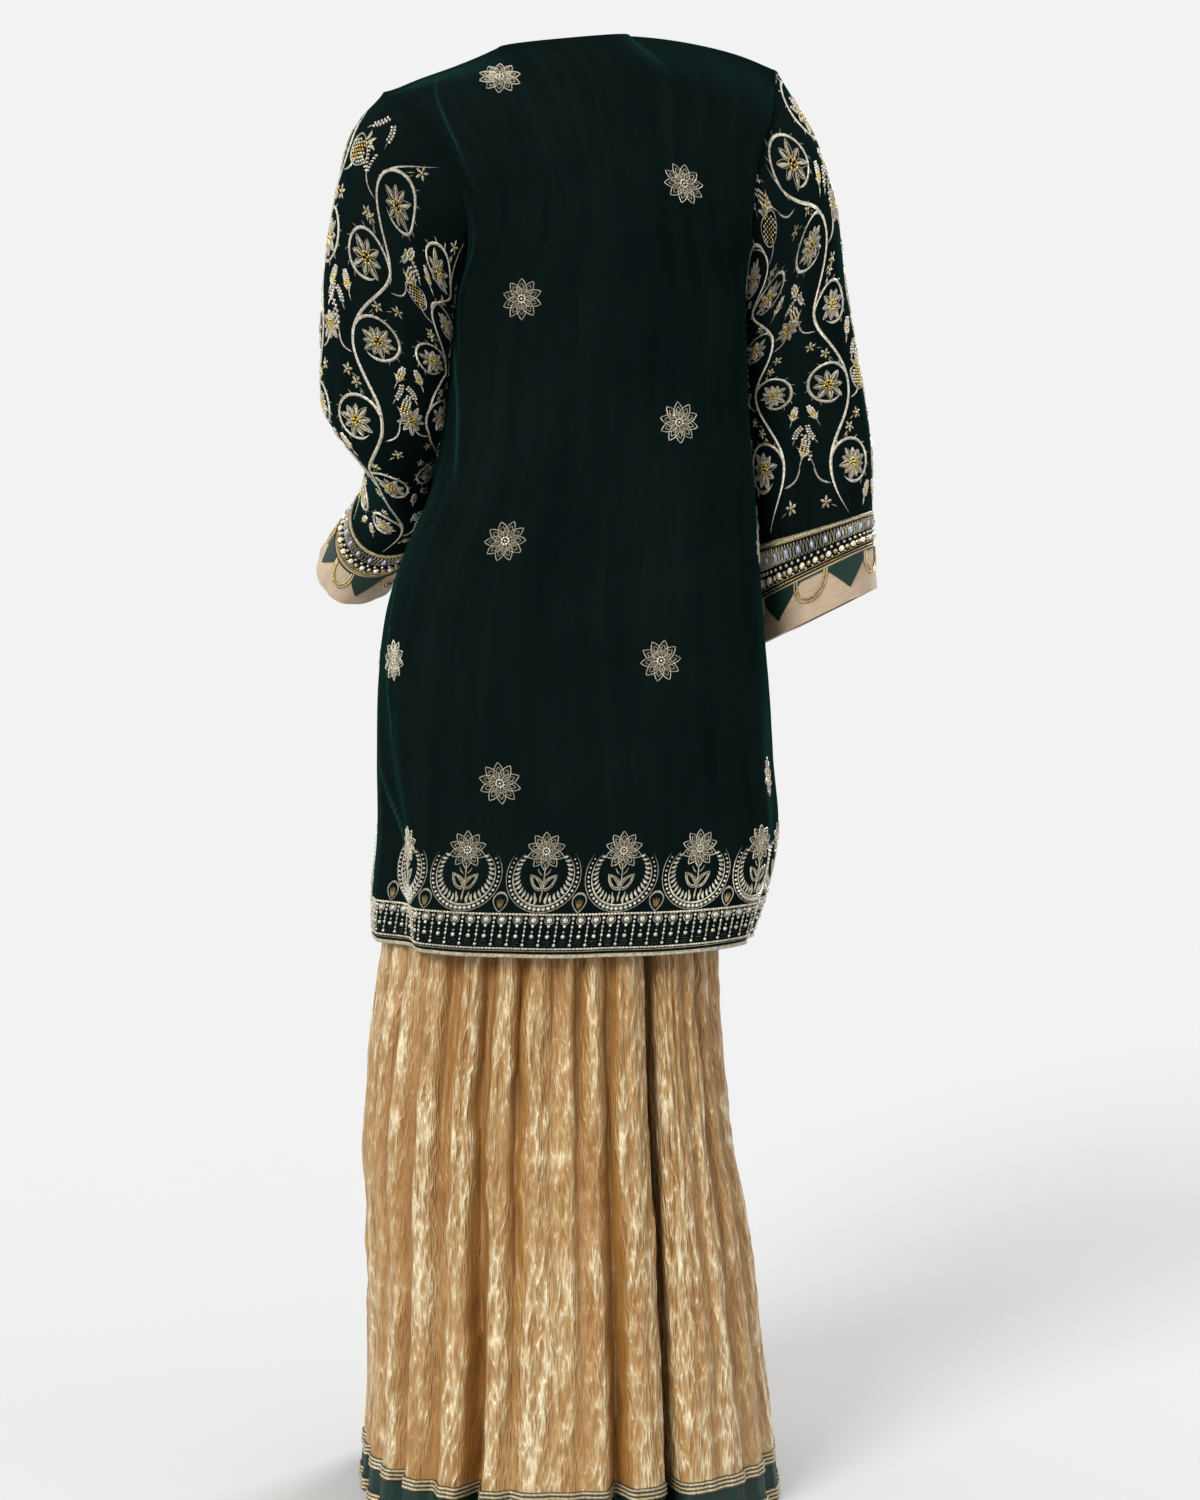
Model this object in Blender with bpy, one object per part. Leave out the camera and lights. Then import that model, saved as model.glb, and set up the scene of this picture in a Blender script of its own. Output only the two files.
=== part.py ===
"""A salwar suit as it is worn, with no wearer: a velvet kurta over very wide gathered trousers.

Metres, +Z up. The front faces -Y and the wearer's left is +X. The origin is the middle of the neck
opening at the height of the shoulders, where the suit is held up. Every cloth piece is an open
surface lofted through sections of the worn shape, with its thickness turned inwards.
"""

from collections import namedtuple

import bpy
import numpy as np

# Cloth and seams
VELVET = 0.0016
TISSUE = 0.0012
SILK = 0.0012
TRIM = 0.0009
SEAM = 0.0003
ARMHOLE_SEAM = 0.0005

# Kurta: lengths down from the shoulders
NECK_HALF = 0.064
NECK_CENTRE = 0.009
NECK_BACK = 0.052
NECK_FRONT = 0.066
NECK_FRONT_DROP = 0.078
NECK_BACK_DROP = 0.006
PANEL_COLUMNS = 28
NECK_SHARE = 12 / PANEL_COLUMNS
FOLD_EDGE = 0.1

# One row for each level of the kurta, from the hem up. left and right are the places of the two
# edges, back and front the depths at the middle, edge_b and edge_f the depths at the panel's edge.
# From level ARMPIT up the edges are the armholes, whose walls lie across the shoulder from level
# ARMHOLE_UPPER up.
Level = namedtuple("Level", "z_back z_front z_edge left right back front edge_b edge_f square")
LEVELS = (
    Level(-0.866, -0.862, -0.860, 0.197, -0.174, 0.156, -0.132, 0.004, 0.004, 2.9),
    Level(-0.829, -0.826, -0.824, 0.197, -0.186, 0.155, -0.131, 0.004, 0.004, 2.9),
    Level(-0.770, -0.770, -0.766, 0.192, -0.198, 0.152, -0.130, 0.004, 0.004, 2.8),
    Level(-0.690, -0.690, -0.690, 0.192, -0.193, 0.147, -0.127, 0.004, 0.004, 2.7),
    Level(-0.610, -0.610, -0.610, 0.190, -0.189, 0.140, -0.123, 0.004, 0.004, 2.6),
    Level(-0.545, -0.545, -0.545, 0.182, -0.185, 0.131, -0.120, 0.004, 0.004, 2.5),
    Level(-0.488, -0.488, -0.488, 0.164, -0.181, 0.121, -0.119, 0.002, 0.002, 2.5),
    Level(-0.434, -0.434, -0.434, 0.140, -0.178, 0.114, -0.120, 0.000, 0.000, 2.5),
    Level(-0.372, -0.372, -0.372, 0.128, -0.173, 0.111, -0.124, 0.000, 0.000, 2.4),
    Level(-0.305, -0.305, -0.305, 0.121, -0.169, 0.114, -0.131, 0.000, 0.000, 2.4),
    Level(-0.240, -0.240, -0.240, 0.116, -0.1665, 0.118, -0.132, 0.000, 0.000, 2.3),
    Level(-0.188, -0.205, -0.202, 0.108, -0.1637, 0.119, -0.126, 0.050, -0.044, 2.2),
    Level(-0.140, -0.172, -0.160, 0.114, -0.1646, 0.115, -0.115, 0.068, -0.058, 2.1),
    Level(-0.092, -0.140, -0.113, 0.137, -0.1715, 0.102, -0.101, 0.061, -0.051, 2.1),
    Level(-0.046, -0.106, -0.070, 0.164, -0.189, 0.080, -0.084, 0.036, -0.031, 2.1),
)
ARMPIT = 10
ARMHOLE_UPPER = 13
SHOULDER_TIPS = ((-0.203, 0.0, -0.015), (0.186, 0.0, -0.044))
SHOULDER_BOWS = (0.006, -0.004)
NECK_POINTS = ((NECK_CENTRE - NECK_HALF, 0.0, 0.012), (NECK_CENTRE + NECK_HALF, 0.0, -0.003))

# Soft folds of the kurta. u runs from -1 at the wearer's right to 1 at the left, at the hem and at
# the fold's upper end, top is the height where it dies out, and wide is half its width in u.
Fold = namedtuple("Fold", "panel u_hem u_top top wide depth")
KURTA_FOLDS = (
    Fold("back", 0.70, 0.94, -0.560, 0.17, 0.019),
    Fold("back", -0.74, -0.80, -0.500, 0.13, 0.008),
    Fold("back", -0.10, -0.16, -0.300, 0.16, 0.004),
    Fold("back", 0.26, 0.22, -0.340, 0.15, 0.003),
    Fold("front", -0.66, -0.76, -0.480, 0.16, 0.011),
    Fold("front", 0.62, 0.74, -0.520, 0.16, 0.012),
    Fold("front", -0.22, -0.16, -0.330, 0.15, 0.005),
    Fold("front", 0.24, 0.18, -0.330, 0.15, 0.005),
)

# Sleeves: one row for each ring below the armhole. x, y and z are its middle, wide and deep its
# half sizes across and front to back, and tilt and turn lean its plane, in radians.
Ring = namedtuple("Ring", "x y z wide deep tilt turn")
SLEEVE_RIGHT = (
    Ring(-0.2037, 0.006, -0.165, 0.0878, 0.0660, 1.175, 0.00),
    Ring(-0.2135, 0.004, -0.200, 0.0740, 0.0680, 0.955, 0.00),
    Ring(-0.2225, -0.004, -0.262, 0.0590, 0.0660, 0.60, 0.00),
    Ring(-0.2330, -0.010, -0.325, 0.0565, 0.0650, 0.22, 0.02),
    Ring(-0.2420, -0.016, -0.385, 0.0585, 0.0650, 0.08, 0.04),
    Ring(-0.2445, -0.022, -0.445, 0.0600, 0.0660, 0.22, 0.02),
    Ring(-0.2475, -0.026, -0.485, 0.0620, 0.0680, 0.38, -0.06),
    Ring(-0.2490, -0.028, -0.508, 0.0630, 0.0690, 0.44, -0.12),
)
SLEEVE_LEFT = (
    Ring(0.1678, 0.007, -0.1725, 0.0919, 0.0660, -1.004, 0.00),
    Ring(0.1743, 0.006, -0.1985, 0.0829, 0.0700, -0.873, 0.00),
    Ring(0.1830, 0.004, -0.257, 0.0682, 0.0680, -0.54, 0.00),
    Ring(0.1863, 0.000, -0.3125, 0.0600, 0.0680, -0.208, 0.10),
    Ring(0.1855, -0.012, -0.355, 0.0560, 0.0680, -0.04, 0.42),
    Ring(0.1675, -0.050, -0.392, 0.0335, 0.0600, 0.00, 0.85),
    Ring(0.1610, -0.090, -0.418, 0.0370, 0.0530, 0.06, 0.98),
    Ring(0.1635, -0.130, -0.443, 0.0410, 0.0490, 0.12, 1.02),
    Ring(0.1775, -0.160, -0.468, 0.0450, 0.0500, 0.20, 1.00),
)
SLEEVE_ROWS = 12
CUFF_BAND = 0.045
CUFF_SEAM = 0.0006
CUFF_REPEATS = 5
CUFF_COLUMNS = 6 * CUFF_REPEATS
CUFF_FLARE = 0.9
POINTS_START = 0.04
POINTS_BAND = 0.08
POINTS_LONG = 0.62
POINTS_STEEP = 1.5
PIPING_HIGH = 0.0035

# Trousers: one row for each level of the outline that the two legs fill together, from the waist
# down. gap is half the space between the legs, round_l and round_r how soft their corners are.
Outline = namedtuple("Outline", "z left right back front part_b part_f gap round_l round_r")
OUTLINES = (
    Outline(-0.395, 0.102, -0.146, 0.090, -0.092, -0.022, -0.022, 0.00025, 0.002, 0.002),
    Outline(-0.460, 0.128, -0.158, 0.101, -0.100, -0.018, -0.018, 0.00025, 0.002, 0.002),
    Outline(-0.545, 0.164, -0.170, 0.117, -0.105, -0.012, -0.010, 0.00025, 0.002, 0.002),
    Outline(-0.640, 0.176, -0.168, 0.130, -0.109, -0.010, -0.004, 0.00030, 0.003, 0.003),
    Outline(-0.740, 0.180, -0.158, 0.136, -0.113, -0.030, 0.000, 0.00100, 0.006, 0.005),
    Outline(-0.860, 0.187, -0.142, 0.140, -0.118, -0.058, 0.004, 0.00400, 0.014, 0.009),
    Outline(-0.950, 0.198, -0.143, 0.146, -0.128, -0.062, 0.006, 0.00500, 0.018, 0.010),
    Outline(-1.060, 0.206, -0.154, 0.158, -0.150, -0.066, 0.008, 0.00500, 0.020, 0.010),
    Outline(-1.170, 0.203, -0.174, 0.171, -0.175, -0.069, 0.010, 0.00500, 0.020, 0.010),
    Outline(-1.290, 0.202, -0.186, 0.187, -0.203, -0.072, 0.012, 0.00500, 0.020, 0.010),
    Outline(-1.406, 0.210, -0.200, 0.203, -0.230, -0.074, 0.014, 0.00500, 0.020, 0.010),
)
SQUARE_LEGS = 2.5
HEM = -1.406
BAND_TOP = -1.366
TRIM_HIGH = 0.012
LEG_ROWS = (
    -0.395, -0.460, -0.545, -0.640, -0.740, -0.805, -0.868,
    -0.920, -0.990, -1.070, -1.160, -1.260, BAND_TOP,
)
CROTCH = -0.740
INNER_COLUMNS = 8
WAISTBAND = 0.034
WAIST_COLUMNS = 48
UNDER = 0.0040
PRESSED_BELOW = 0.03

# Gathers of the legs. at is the place on the outer side, from 0 at the parting behind to 1 at the
# parting in front, wide half the width there, and the depths are at the knee, half way and hem.
Gather = namedtuple("Gather", "at wide knee half hem")
GATHERS_LEFT = (
    Gather(0.070, 0.021, 0.014, 0.020, 0.030),
    Gather(0.118, 0.018, 0.013, 0.006, 0.002),
    Gather(0.160, 0.018, 0.012, 0.004, 0.002),
    Gather(0.213, 0.022, 0.014, 0.012, 0.007),
    Gather(0.268, 0.021, 0.014, 0.020, 0.036),
    Gather(0.330, 0.024, 0.013, 0.010, 0.012),
    Gather(0.392, 0.022, 0.012, 0.014, 0.016),
    Gather(0.450, 0.022, 0.013, 0.010, 0.006),
    Gather(0.512, 0.023, 0.012, 0.018, 0.026),
    Gather(0.574, 0.022, 0.013, 0.008, 0.006),
    Gather(0.634, 0.022, 0.012, 0.013, 0.018),
    Gather(0.696, 0.023, 0.013, 0.018, 0.028),
    Gather(0.757, 0.022, 0.012, 0.008, 0.004),
    Gather(0.816, 0.022, 0.013, 0.014, 0.020),
    Gather(0.878, 0.023, 0.012, 0.010, 0.008),
    Gather(0.938, 0.021, 0.012, 0.016, 0.022),
)
GATHERS_RIGHT = (
    Gather(0.074, 0.024, 0.006, 0.004, 0.002),
    Gather(0.140, 0.026, 0.012, 0.009, 0.004),
    Gather(0.216, 0.030, 0.011, 0.010, 0.008),
    Gather(0.300, 0.030, 0.012, 0.016, 0.022),
    Gather(0.380, 0.028, 0.013, 0.010, 0.008),
    Gather(0.458, 0.028, 0.012, 0.018, 0.028),
    Gather(0.536, 0.028, 0.013, 0.008, 0.006),
    Gather(0.612, 0.028, 0.012, 0.014, 0.020),
    Gather(0.690, 0.028, 0.013, 0.018, 0.026),
    Gather(0.768, 0.028, 0.012, 0.008, 0.005),
    Gather(0.846, 0.028, 0.013, 0.014, 0.020),
    Gather(0.922, 0.026, 0.012, 0.010, 0.010),
)
GATHER_DEPTH_LEVELS = (-1.406, -1.130, -0.890, -0.640, -0.395)
LOOP_POINTS = 400
SLOPE_STEP = 0.004
NEAREST_COLUMNS = 0.011
HIP_DEPTH = 0.35
WAIST_DEPTH = 0.12

# Colours
BOTTLE_GREEN = (0.006, 0.030, 0.024, 1.0)
GREEN_SILK = (0.010, 0.050, 0.038, 1.0)
GOLD_TISSUE = (0.600, 0.410, 0.190, 1.0)
CREAM_SILK = (0.700, 0.520, 0.330, 1.0)
ZARI = (0.520, 0.440, 0.300, 1.0)


def material(name, colour, roughness, metallic):
    made = bpy.data.materials.new(name)
    made.use_nodes = True
    shader = made.node_tree.nodes["Principled BSDF"]
    shader.inputs["Base Color"].default_value = colour
    shader.inputs["Roughness"].default_value = roughness
    shader.inputs["Metallic"].default_value = metallic
    return made


def curve_through(knots, values, at):
    """A smooth curve through rows of values: cubic pieces whose slopes follow the neighbouring rows."""
    knots, values, at = np.asarray(knots, float), np.asarray(values, float), np.asarray(at, float)
    slopes = np.gradient(values, knots, axis=0)
    i = np.clip(np.searchsorted(knots, at, side="right") - 1, 0, len(knots) - 2)
    step = knots[i + 1] - knots[i]
    t = np.clip((at - knots[i]) / step, 0.0, 1.0)
    extra = (1,) * (values.ndim - 1)
    t, step = t.reshape(-1, *extra), step.reshape(-1, *extra)
    start = (2 * t**3 - 3 * t**2 + 1) * values[i] + (t**3 - 2 * t**2 + t) * step * slopes[i]
    return start + (3 * t**2 - 2 * t**3) * values[i + 1] + (t**3 - t**2) * step * slopes[i + 1]


def along(points, shares):
    """Points at these shares, 0 to 1, of a polyline's length."""
    steps = np.linalg.norm(np.diff(points, axis=0), axis=1)
    length = np.concatenate([[0.0], np.cumsum(steps)])
    return np.stack([np.interp(shares, length / length[-1], axis) for axis in points.T], axis=1)


def swell(t):
    """1 in the middle of a fold, falling smoothly to 0 at its two edges, t = -1 and 1."""
    return 0.5 * (1 + np.cos(np.pi * np.clip(t, -1, 1)))


def ramp(t):
    t = np.clip(t, 0, 1)
    return t * t * (3 - 2 * t)


def level_row(level, panel, u):
    """One level of a kurta panel: half of a superellipse from the right edge to the left one."""
    back = panel == "back"
    depth, edge = (level.back, level.edge_b) if back else (level.front, level.edge_f)
    middle, half = (level.left + level.right) / 2, (level.left - level.right) / 2
    t = np.linspace(np.pi, 0, 241)
    across = np.sign(np.cos(t)) * np.abs(np.cos(t)) ** (2 / level.square)
    out = np.abs(np.sin(t)) ** (2 / level.square)
    z_middle = level.z_back if back else level.z_front
    z = z_middle + (level.z_edge - z_middle) * across**2
    row = np.stack([middle + half * across, edge + (depth - edge) * out, z], axis=1)
    return along(row, (u + 1) / 2)


def top_row(panel, u):
    """The top edge of a panel: a shoulder seam, the neckline as half an ellipse, a shoulder seam."""
    right_tip, left_tip = (np.array(p) for p in SHOULDER_TIPS)
    right_neck, left_neck = (np.array(p) for p in NECK_POINTS)
    depth, drop = (NECK_BACK, NECK_BACK_DROP) if panel == "back" else (-NECK_FRONT, NECK_FRONT_DROP)
    t = np.linspace(np.pi, 0, 121)
    share = ((1 - np.cos(np.pi - t)) / 2)[:, None]
    neckline = right_neck * (1 - share) + left_neck * share
    neckline[:, 1] += depth * np.sin(t)
    neckline[:, 2] -= drop * np.sin(t) ** 1.4
    row = np.zeros((len(u), 3))
    neck, right, left = np.abs(u) <= NECK_SHARE + 1e-9, u < -NECK_SHARE - 1e-9, u > NECK_SHARE + 1e-9
    row[neck] = along(neckline, (u[neck] / NECK_SHARE + 1) / 2)
    seam = ((-u[right] - NECK_SHARE) / (1 - NECK_SHARE))[:, None]
    row[right] = right_neck * (1 - seam) + right_tip * seam
    row[right, 2] += SHOULDER_BOWS[0] * (4 * seam * (1 - seam))[:, 0]
    seam = ((u[left] - NECK_SHARE) / (1 - NECK_SHARE))[:, None]
    row[left] = left_neck * (1 - seam) + left_tip * seam
    row[left, 2] += SHOULDER_BOWS[1] * (4 * seam * (1 - seam))[:, 0]
    row[:, 1] += SEAM if panel == "back" else -SEAM
    return row


def panel_heights():
    """The knots of a panel's loft: how far up the panel each level lies, with the shoulders at 1."""
    z = np.array([(level.z_back + level.z_front + level.z_edge) / 3 for level in LEVELS] + [0.0])
    return (z - z[0]) / (z[-1] - z[0])


def kurta_surface(panel, u, v):
    """Points of a kurta panel's outer face, rows v from the hem up by columns u from right to left."""
    rows = np.stack([level_row(level, panel, u) for level in LEVELS] + [top_row(panel, u)])
    points = curve_through(panel_heights(), rows, v)
    hem = rows[:1, :, 2]
    outward = np.zeros_like(points)
    slope = np.gradient(points, u, axis=1)
    outward[..., 0], outward[..., 1] = -slope[..., 1], slope[..., 0]
    if panel == "front":
        outward = -outward
    outward /= np.linalg.norm(outward, axis=2, keepdims=True)
    sink = np.zeros(points.shape[:2])
    for fold in (f for f in KURTA_FOLDS if f.panel == panel):
        down = np.clip((fold.top - points[..., 2]) / (fold.top - hem), 0, 1)
        middle = fold.u_top + (fold.u_hem - fold.u_top) * down
        sink += fold.depth * ramp(down) * swell((u[None, :] - middle) / fold.wide)
    seam_side = SEAM / 2 if panel == "back" else -SEAM / 2
    inside = ramp((1 - np.abs(u)) / FOLD_EDGE)[None, :]
    points = points - outward * (sink * inside)[..., None]
    points[..., 1] += seam_side
    return points


def armhole_edges(side):
    """The armhole's two edges, from the armpit up the back and from the shoulder down the front."""
    v = panel_rows()
    v = v[v >= panel_heights()[ARMPIT] - 1e-9]
    u = np.array([side * 0.999, side * 1.0])
    up, down = (kurta_surface(panel, u, v)[:, 1] for panel in ("back", "front"))
    return up, down[::-1]


def sleeve_columns(side):
    """Places around a sleeve: every corner of the armhole's edges, and one between each two."""
    places = []
    for half, edge in enumerate(armhole_edges(side)):
        steps = np.linalg.norm(np.diff(edge, axis=0), axis=1)
        corners = np.concatenate([[0.0], np.cumsum(steps)]) / steps.sum()
        places.append((half + corners[:-1]) / 2)
        places.append((half + (corners[:-1] + corners[1:]) / 2) / 2)
    return np.sort(np.concatenate(places))


def armhole(side, w):
    """The armhole's edge: from the armpit up the back to the shoulder and down the front."""
    up, down = armhole_edges(side)
    half = w <= 0.5
    loop = np.empty((len(w), 3))
    loop[half] = along(up, 2 * w[half])
    loop[~half] = along(down, 2 * w[~half] - 1)
    return loop


def ring_points(ring, side, w):
    """A sleeve ring: an ellipse from the side next to the body, by the back, to the outer side."""
    lean = np.array([np.cos(ring.tilt), 0.0, -np.sin(ring.tilt)])
    depth = np.array([0.0, np.cos(ring.turn), -np.sin(ring.turn)])
    angle = 2 * np.pi * w[:, None]
    middle = np.array([ring.x, ring.y, ring.z])
    return middle - side * lean * ring.wide * np.cos(angle) + depth * ring.deep * np.sin(angle)


def sleeve_surface(side, w, v):
    """Points of a sleeve's outer face, rows v from the armhole to the end by columns w around it."""
    rings = SLEEVE_LEFT if side > 0 else SLEEVE_RIGHT
    loop = armhole(side, w)
    loop[:, 0] += side * ARMHOLE_SEAM
    rows = np.stack([loop] + [ring_points(ring, side, w) for ring in rings])
    middles = rows.mean(axis=1)
    steps = np.linalg.norm(np.diff(middles, axis=0), axis=1)
    knots = np.concatenate([[0.0], np.cumsum(steps)]) / steps.sum()
    return curve_through(knots, rows, v)


def cuff_surface(side, w, drops):
    """The sleeve carried on past its end: rows at these distances, with the last ring's direction."""
    last = sleeve_surface(side, w, np.array([0.97, 1.0]))
    way = (last[1] - last[0]).mean(axis=0)
    way /= np.linalg.norm(way)
    middle = last[1].mean(axis=0)
    rows = []
    for drop in drops:
        flare = 1 + CUFF_FLARE * drop
        rows.append(middle + (last[1] - middle) * flare + way * drop)
    return np.stack(rows)


def outline_at(z):
    """The trousers' outline at the heights z, as an Outline of arrays."""
    table = np.array(OUTLINES)[::-1]
    return Outline(*curve_through(table[:, 0], table, z).T)


def bare_loop(side, level, q):
    """Places q on one leg's loop at one level of the outline, and the way out at each, in x and y.

    The loop is the part of a superellipse beyond a straight parting, rounded at both corners by
    averaging along its length. q runs from 0 at the parting behind, by the outer side, to 1 at the
    parting in front, and on by the inner side to 2, back at the start."""
    middle, half = (level.left + level.right) / 2, (level.left - level.right) / 2

    def angle(x):
        flat = (x + side * level.gap - middle) / half
        return np.arccos(np.sign(flat) * np.abs(flat) ** (SQUARE_LEGS / 2))

    start, end = angle(level.part_b), -angle(level.part_f)
    if side < 0:
        end += 2 * np.pi
    t = np.linspace(start, end, 500)
    depth = np.where(np.sin(t) > 0, level.back, -level.front)
    x = middle + half * np.sign(np.cos(t)) * np.abs(np.cos(t)) ** (2 / SQUARE_LEGS)
    y = depth * np.sign(np.sin(t)) * np.abs(np.sin(t)) ** (2 / SQUARE_LEGS)
    outer = np.stack([x, y], axis=1)
    outer_length = np.linalg.norm(np.diff(outer, axis=0), axis=1).sum()
    inner_length = np.linalg.norm(outer[-1] - outer[0])
    total = outer_length + inner_length

    share = np.linspace(0, 1, LOOP_POINTS, endpoint=False)
    loop = along(np.concatenate([outer, outer[:1]]), share)
    softness = level.round_l if side > 0 else level.round_r
    weights = np.exp(-0.5 * (np.minimum(share, 1 - share) * total / softness) ** 2)
    kernel = np.fft.fft(weights / weights.sum())
    loop = np.stack([np.fft.ifft(np.fft.fft(axis) * kernel).real for axis in loop.T], axis=1)
    closed, spots = np.concatenate([loop, loop[:1]]), np.append(share, 1.0)

    def at(place):
        return np.stack([np.interp(np.mod(place, 1), spots, axis) for axis in closed.T], axis=1)

    turn = np.mod(q, 2)
    place = np.where(turn < 1, turn * outer_length, outer_length + (turn - 1) * inner_length) / total
    slope = at(place + SLOPE_STEP) - at(place - SLOPE_STEP)
    out = np.stack([slope[:, 1], -slope[:, 0]], axis=1) * -side
    return at(place), out / np.linalg.norm(out, axis=1, keepdims=True)


def leg_loops(side, z, q):
    """Places q on one leg's loops at the heights z, with the gathers pressed in."""
    levels = zip(*outline_at(z))
    gathers = GATHERS_LEFT if side > 0 else GATHERS_RIGHT
    turn = np.mod(q, 2)
    loops = np.empty((len(z), len(q), 3))
    for k, level in enumerate(Outline(*row) for row in levels):
        points, out = bare_loop(side, level, q)
        sink = np.zeros(len(q))
        for g in gathers:
            depths = (g.hem, g.half, g.knee, g.knee * HIP_DEPTH, g.knee * WAIST_DEPTH)
            sink += np.interp(z[k], GATHER_DEPTH_LEVELS, depths) * swell((turn - g.at) / g.wide)
        loops[k, :, :2] = points - out * sink[:, None]
        loops[k, :, 2] = z[k]
    return loops


def gather_columns(side):
    """The columns of a leg's outer side: both edges and the bottom of every gather."""
    gathers = GATHERS_LEFT if side > 0 else GATHERS_RIGHT
    places = sorted({round(g.at + d * g.wide, 4) for g in gathers for d in (-1, 0, 1)})
    kept = [places[0]]
    for place in places[1:]:
        if place - kept[-1] > NEAREST_COLUMNS:
            kept.append(place)
    return np.array(kept)


def normals(points, sign, ring=False):
    """Unit normals of a grid of points; sign turns them outwards."""
    if ring:
        wrapped = np.concatenate([points[:, -1:], points, points[:, :1]], axis=1)
        across = wrapped[:, 2:] - wrapped[:, :-2]
    else:
        across = np.gradient(points, axis=1)
    normal = sign * np.cross(across, np.gradient(points, axis=0))
    return normal / np.linalg.norm(normal, axis=2, keepdims=True)


def square_to_seam(normal, where, axis):
    """Normals turned to run along a seam, so that the two walls that meet there stay apart."""
    turned = normal.copy()
    turned[..., axis][where] = 0
    return turned / np.linalg.norm(turned, axis=2, keepdims=True)


def split_cell(points, a, b, c, d):
    """A cell's two triangles, split along its shorter diagonal."""
    if np.linalg.norm(points[a] - points[c]) < np.linalg.norm(points[b] - points[d]):
        return [(a, b, c), (a, c, d)]
    return [(a, b, d), (b, c, d)]


def cloth(name, outer, inner, sign, finish, ring=False, left_out=None):
    """A wall of cloth between two grids of points. left_out marks the cells that aren't there.

    Both of its faces are split along the same diagonals, so that the wall is as thick everywhere."""
    rows, columns = outer.shape[:2]
    count = rows * columns
    flat = outer.reshape(-1, 3)
    cells = []
    for i in range(rows - 1):
        for j in range(columns if ring else columns - 1):
            if left_out is None or not left_out[i, j]:
                k = (j + 1) % columns
                top, low = i * columns, (i + 1) * columns
                cells += split_cell(flat, top + j, top + k, low + k, low + j)
    edges = {(cell[n], cell[(n + 1) % 3]) for cell in cells for n in range(3)}
    faces = list(cells)
    faces += [tuple(corner + count for corner in reversed(cell)) for cell in cells]
    faces += [(b, a, a + count, b + count) for a, b in sorted(edges) if (b, a) not in edges]
    if sign < 0:
        faces = [tuple(reversed(face)) for face in faces]
    used = sorted({corner for face in faces for corner in face})
    place = {corner: n for n, corner in enumerate(used)}
    points = np.concatenate([outer.reshape(-1, 3), inner.reshape(-1, 3)])[used]
    mesh = bpy.data.meshes.new(name)
    mesh.from_pydata(points.tolist(), [], [tuple(place[corner] for corner in face) for face in faces])
    mesh.materials.append(finish)
    made = bpy.data.objects.new(name, mesh)
    suit.objects.link(made)
    return made


def kurta_reach(theta, z):
    """How far the kurta's outer face is from the axis, in the directions theta at the heights z."""
    u = np.linspace(-1, 1, PANEL_COLUMNS + 1)
    v = panel_rows()
    angles, radii, heights = [], [], []
    for panel, columns in (("back", slice(None, None, -1)), ("front", slice(None))):
        points = kurta_surface(panel, u, v)[:, columns]
        angles.append(np.arctan2(points[..., 1], points[..., 0]))
        radii.append(np.hypot(points[..., 0], points[..., 1]))
        heights.append(points[..., 2])
    angles, radii, heights = (np.concatenate(x, axis=1) for x in (angles, radii, heights))
    reach = np.empty(theta.shape)
    for k in range(len(z)):
        columns = range(angles.shape[1])
        at_angle = np.array([np.interp(z[k], heights[:, j], angles[:, j]) for j in columns])
        at_radius = np.array([np.interp(z[k], heights[:, j], radii[:, j]) for j in columns])
        reach[k] = np.interp(theta[k], at_angle, at_radius, period=2 * np.pi)
    return reach


def pressed_under(points):
    """Rows of points at one height each, pressed in where the kurta lies over them."""
    theta = np.arctan2(points[..., 1], points[..., 0])
    radius = np.hypot(points[..., 0], points[..., 1])
    reach = kurta_reach(theta, points[:, 0, 2]) - UNDER
    under = (points[:, 0, 2] > LEVELS[0].z_back - PRESSED_BELOW)[:, None]
    kept = np.where(under & (radius > reach), reach, radius)
    pressed = points.copy()
    pressed[..., :2] *= (kept / radius)[..., None]
    return pressed


def leg_rings(side, z, q):
    return pressed_under(leg_loops(side, z, q))


def leg_piece(name, side, z, lift, thickness, finish):
    """A piece of the trousers: a leg, its band or a trim, lift beyond the leg's outer face."""
    outer_places = np.concatenate([[0.0], gather_columns(side), [1.0]])
    q = np.concatenate([outer_places, 1 + np.linspace(0, 1, INNER_COLUMNS + 2)[1:-1]])
    middle = leg_rings(side, z, q)
    normal = normals(middle, side, ring=True)
    above = z > CROTCH + 0.001
    seam = np.zeros(middle.shape[:2], bool)
    seam[:, [0, len(outer_places) - 1]] = above[:, None]
    normal = square_to_seam(normal, seam, 0)
    left_out = np.zeros((len(z) - 1, len(q)), bool)
    left_out[above[:-1], len(outer_places) - 1:] = True
    if not above.any():
        left_out = None
    outer, inner = middle + normal * lift, middle + normal * (lift - thickness)
    cloth(name, outer, inner, side, finish, True, left_out)


def panel_rows():
    knots = panel_heights()
    return np.sort(np.append(knots, (1 + knots[-2]) / 2))


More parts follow.
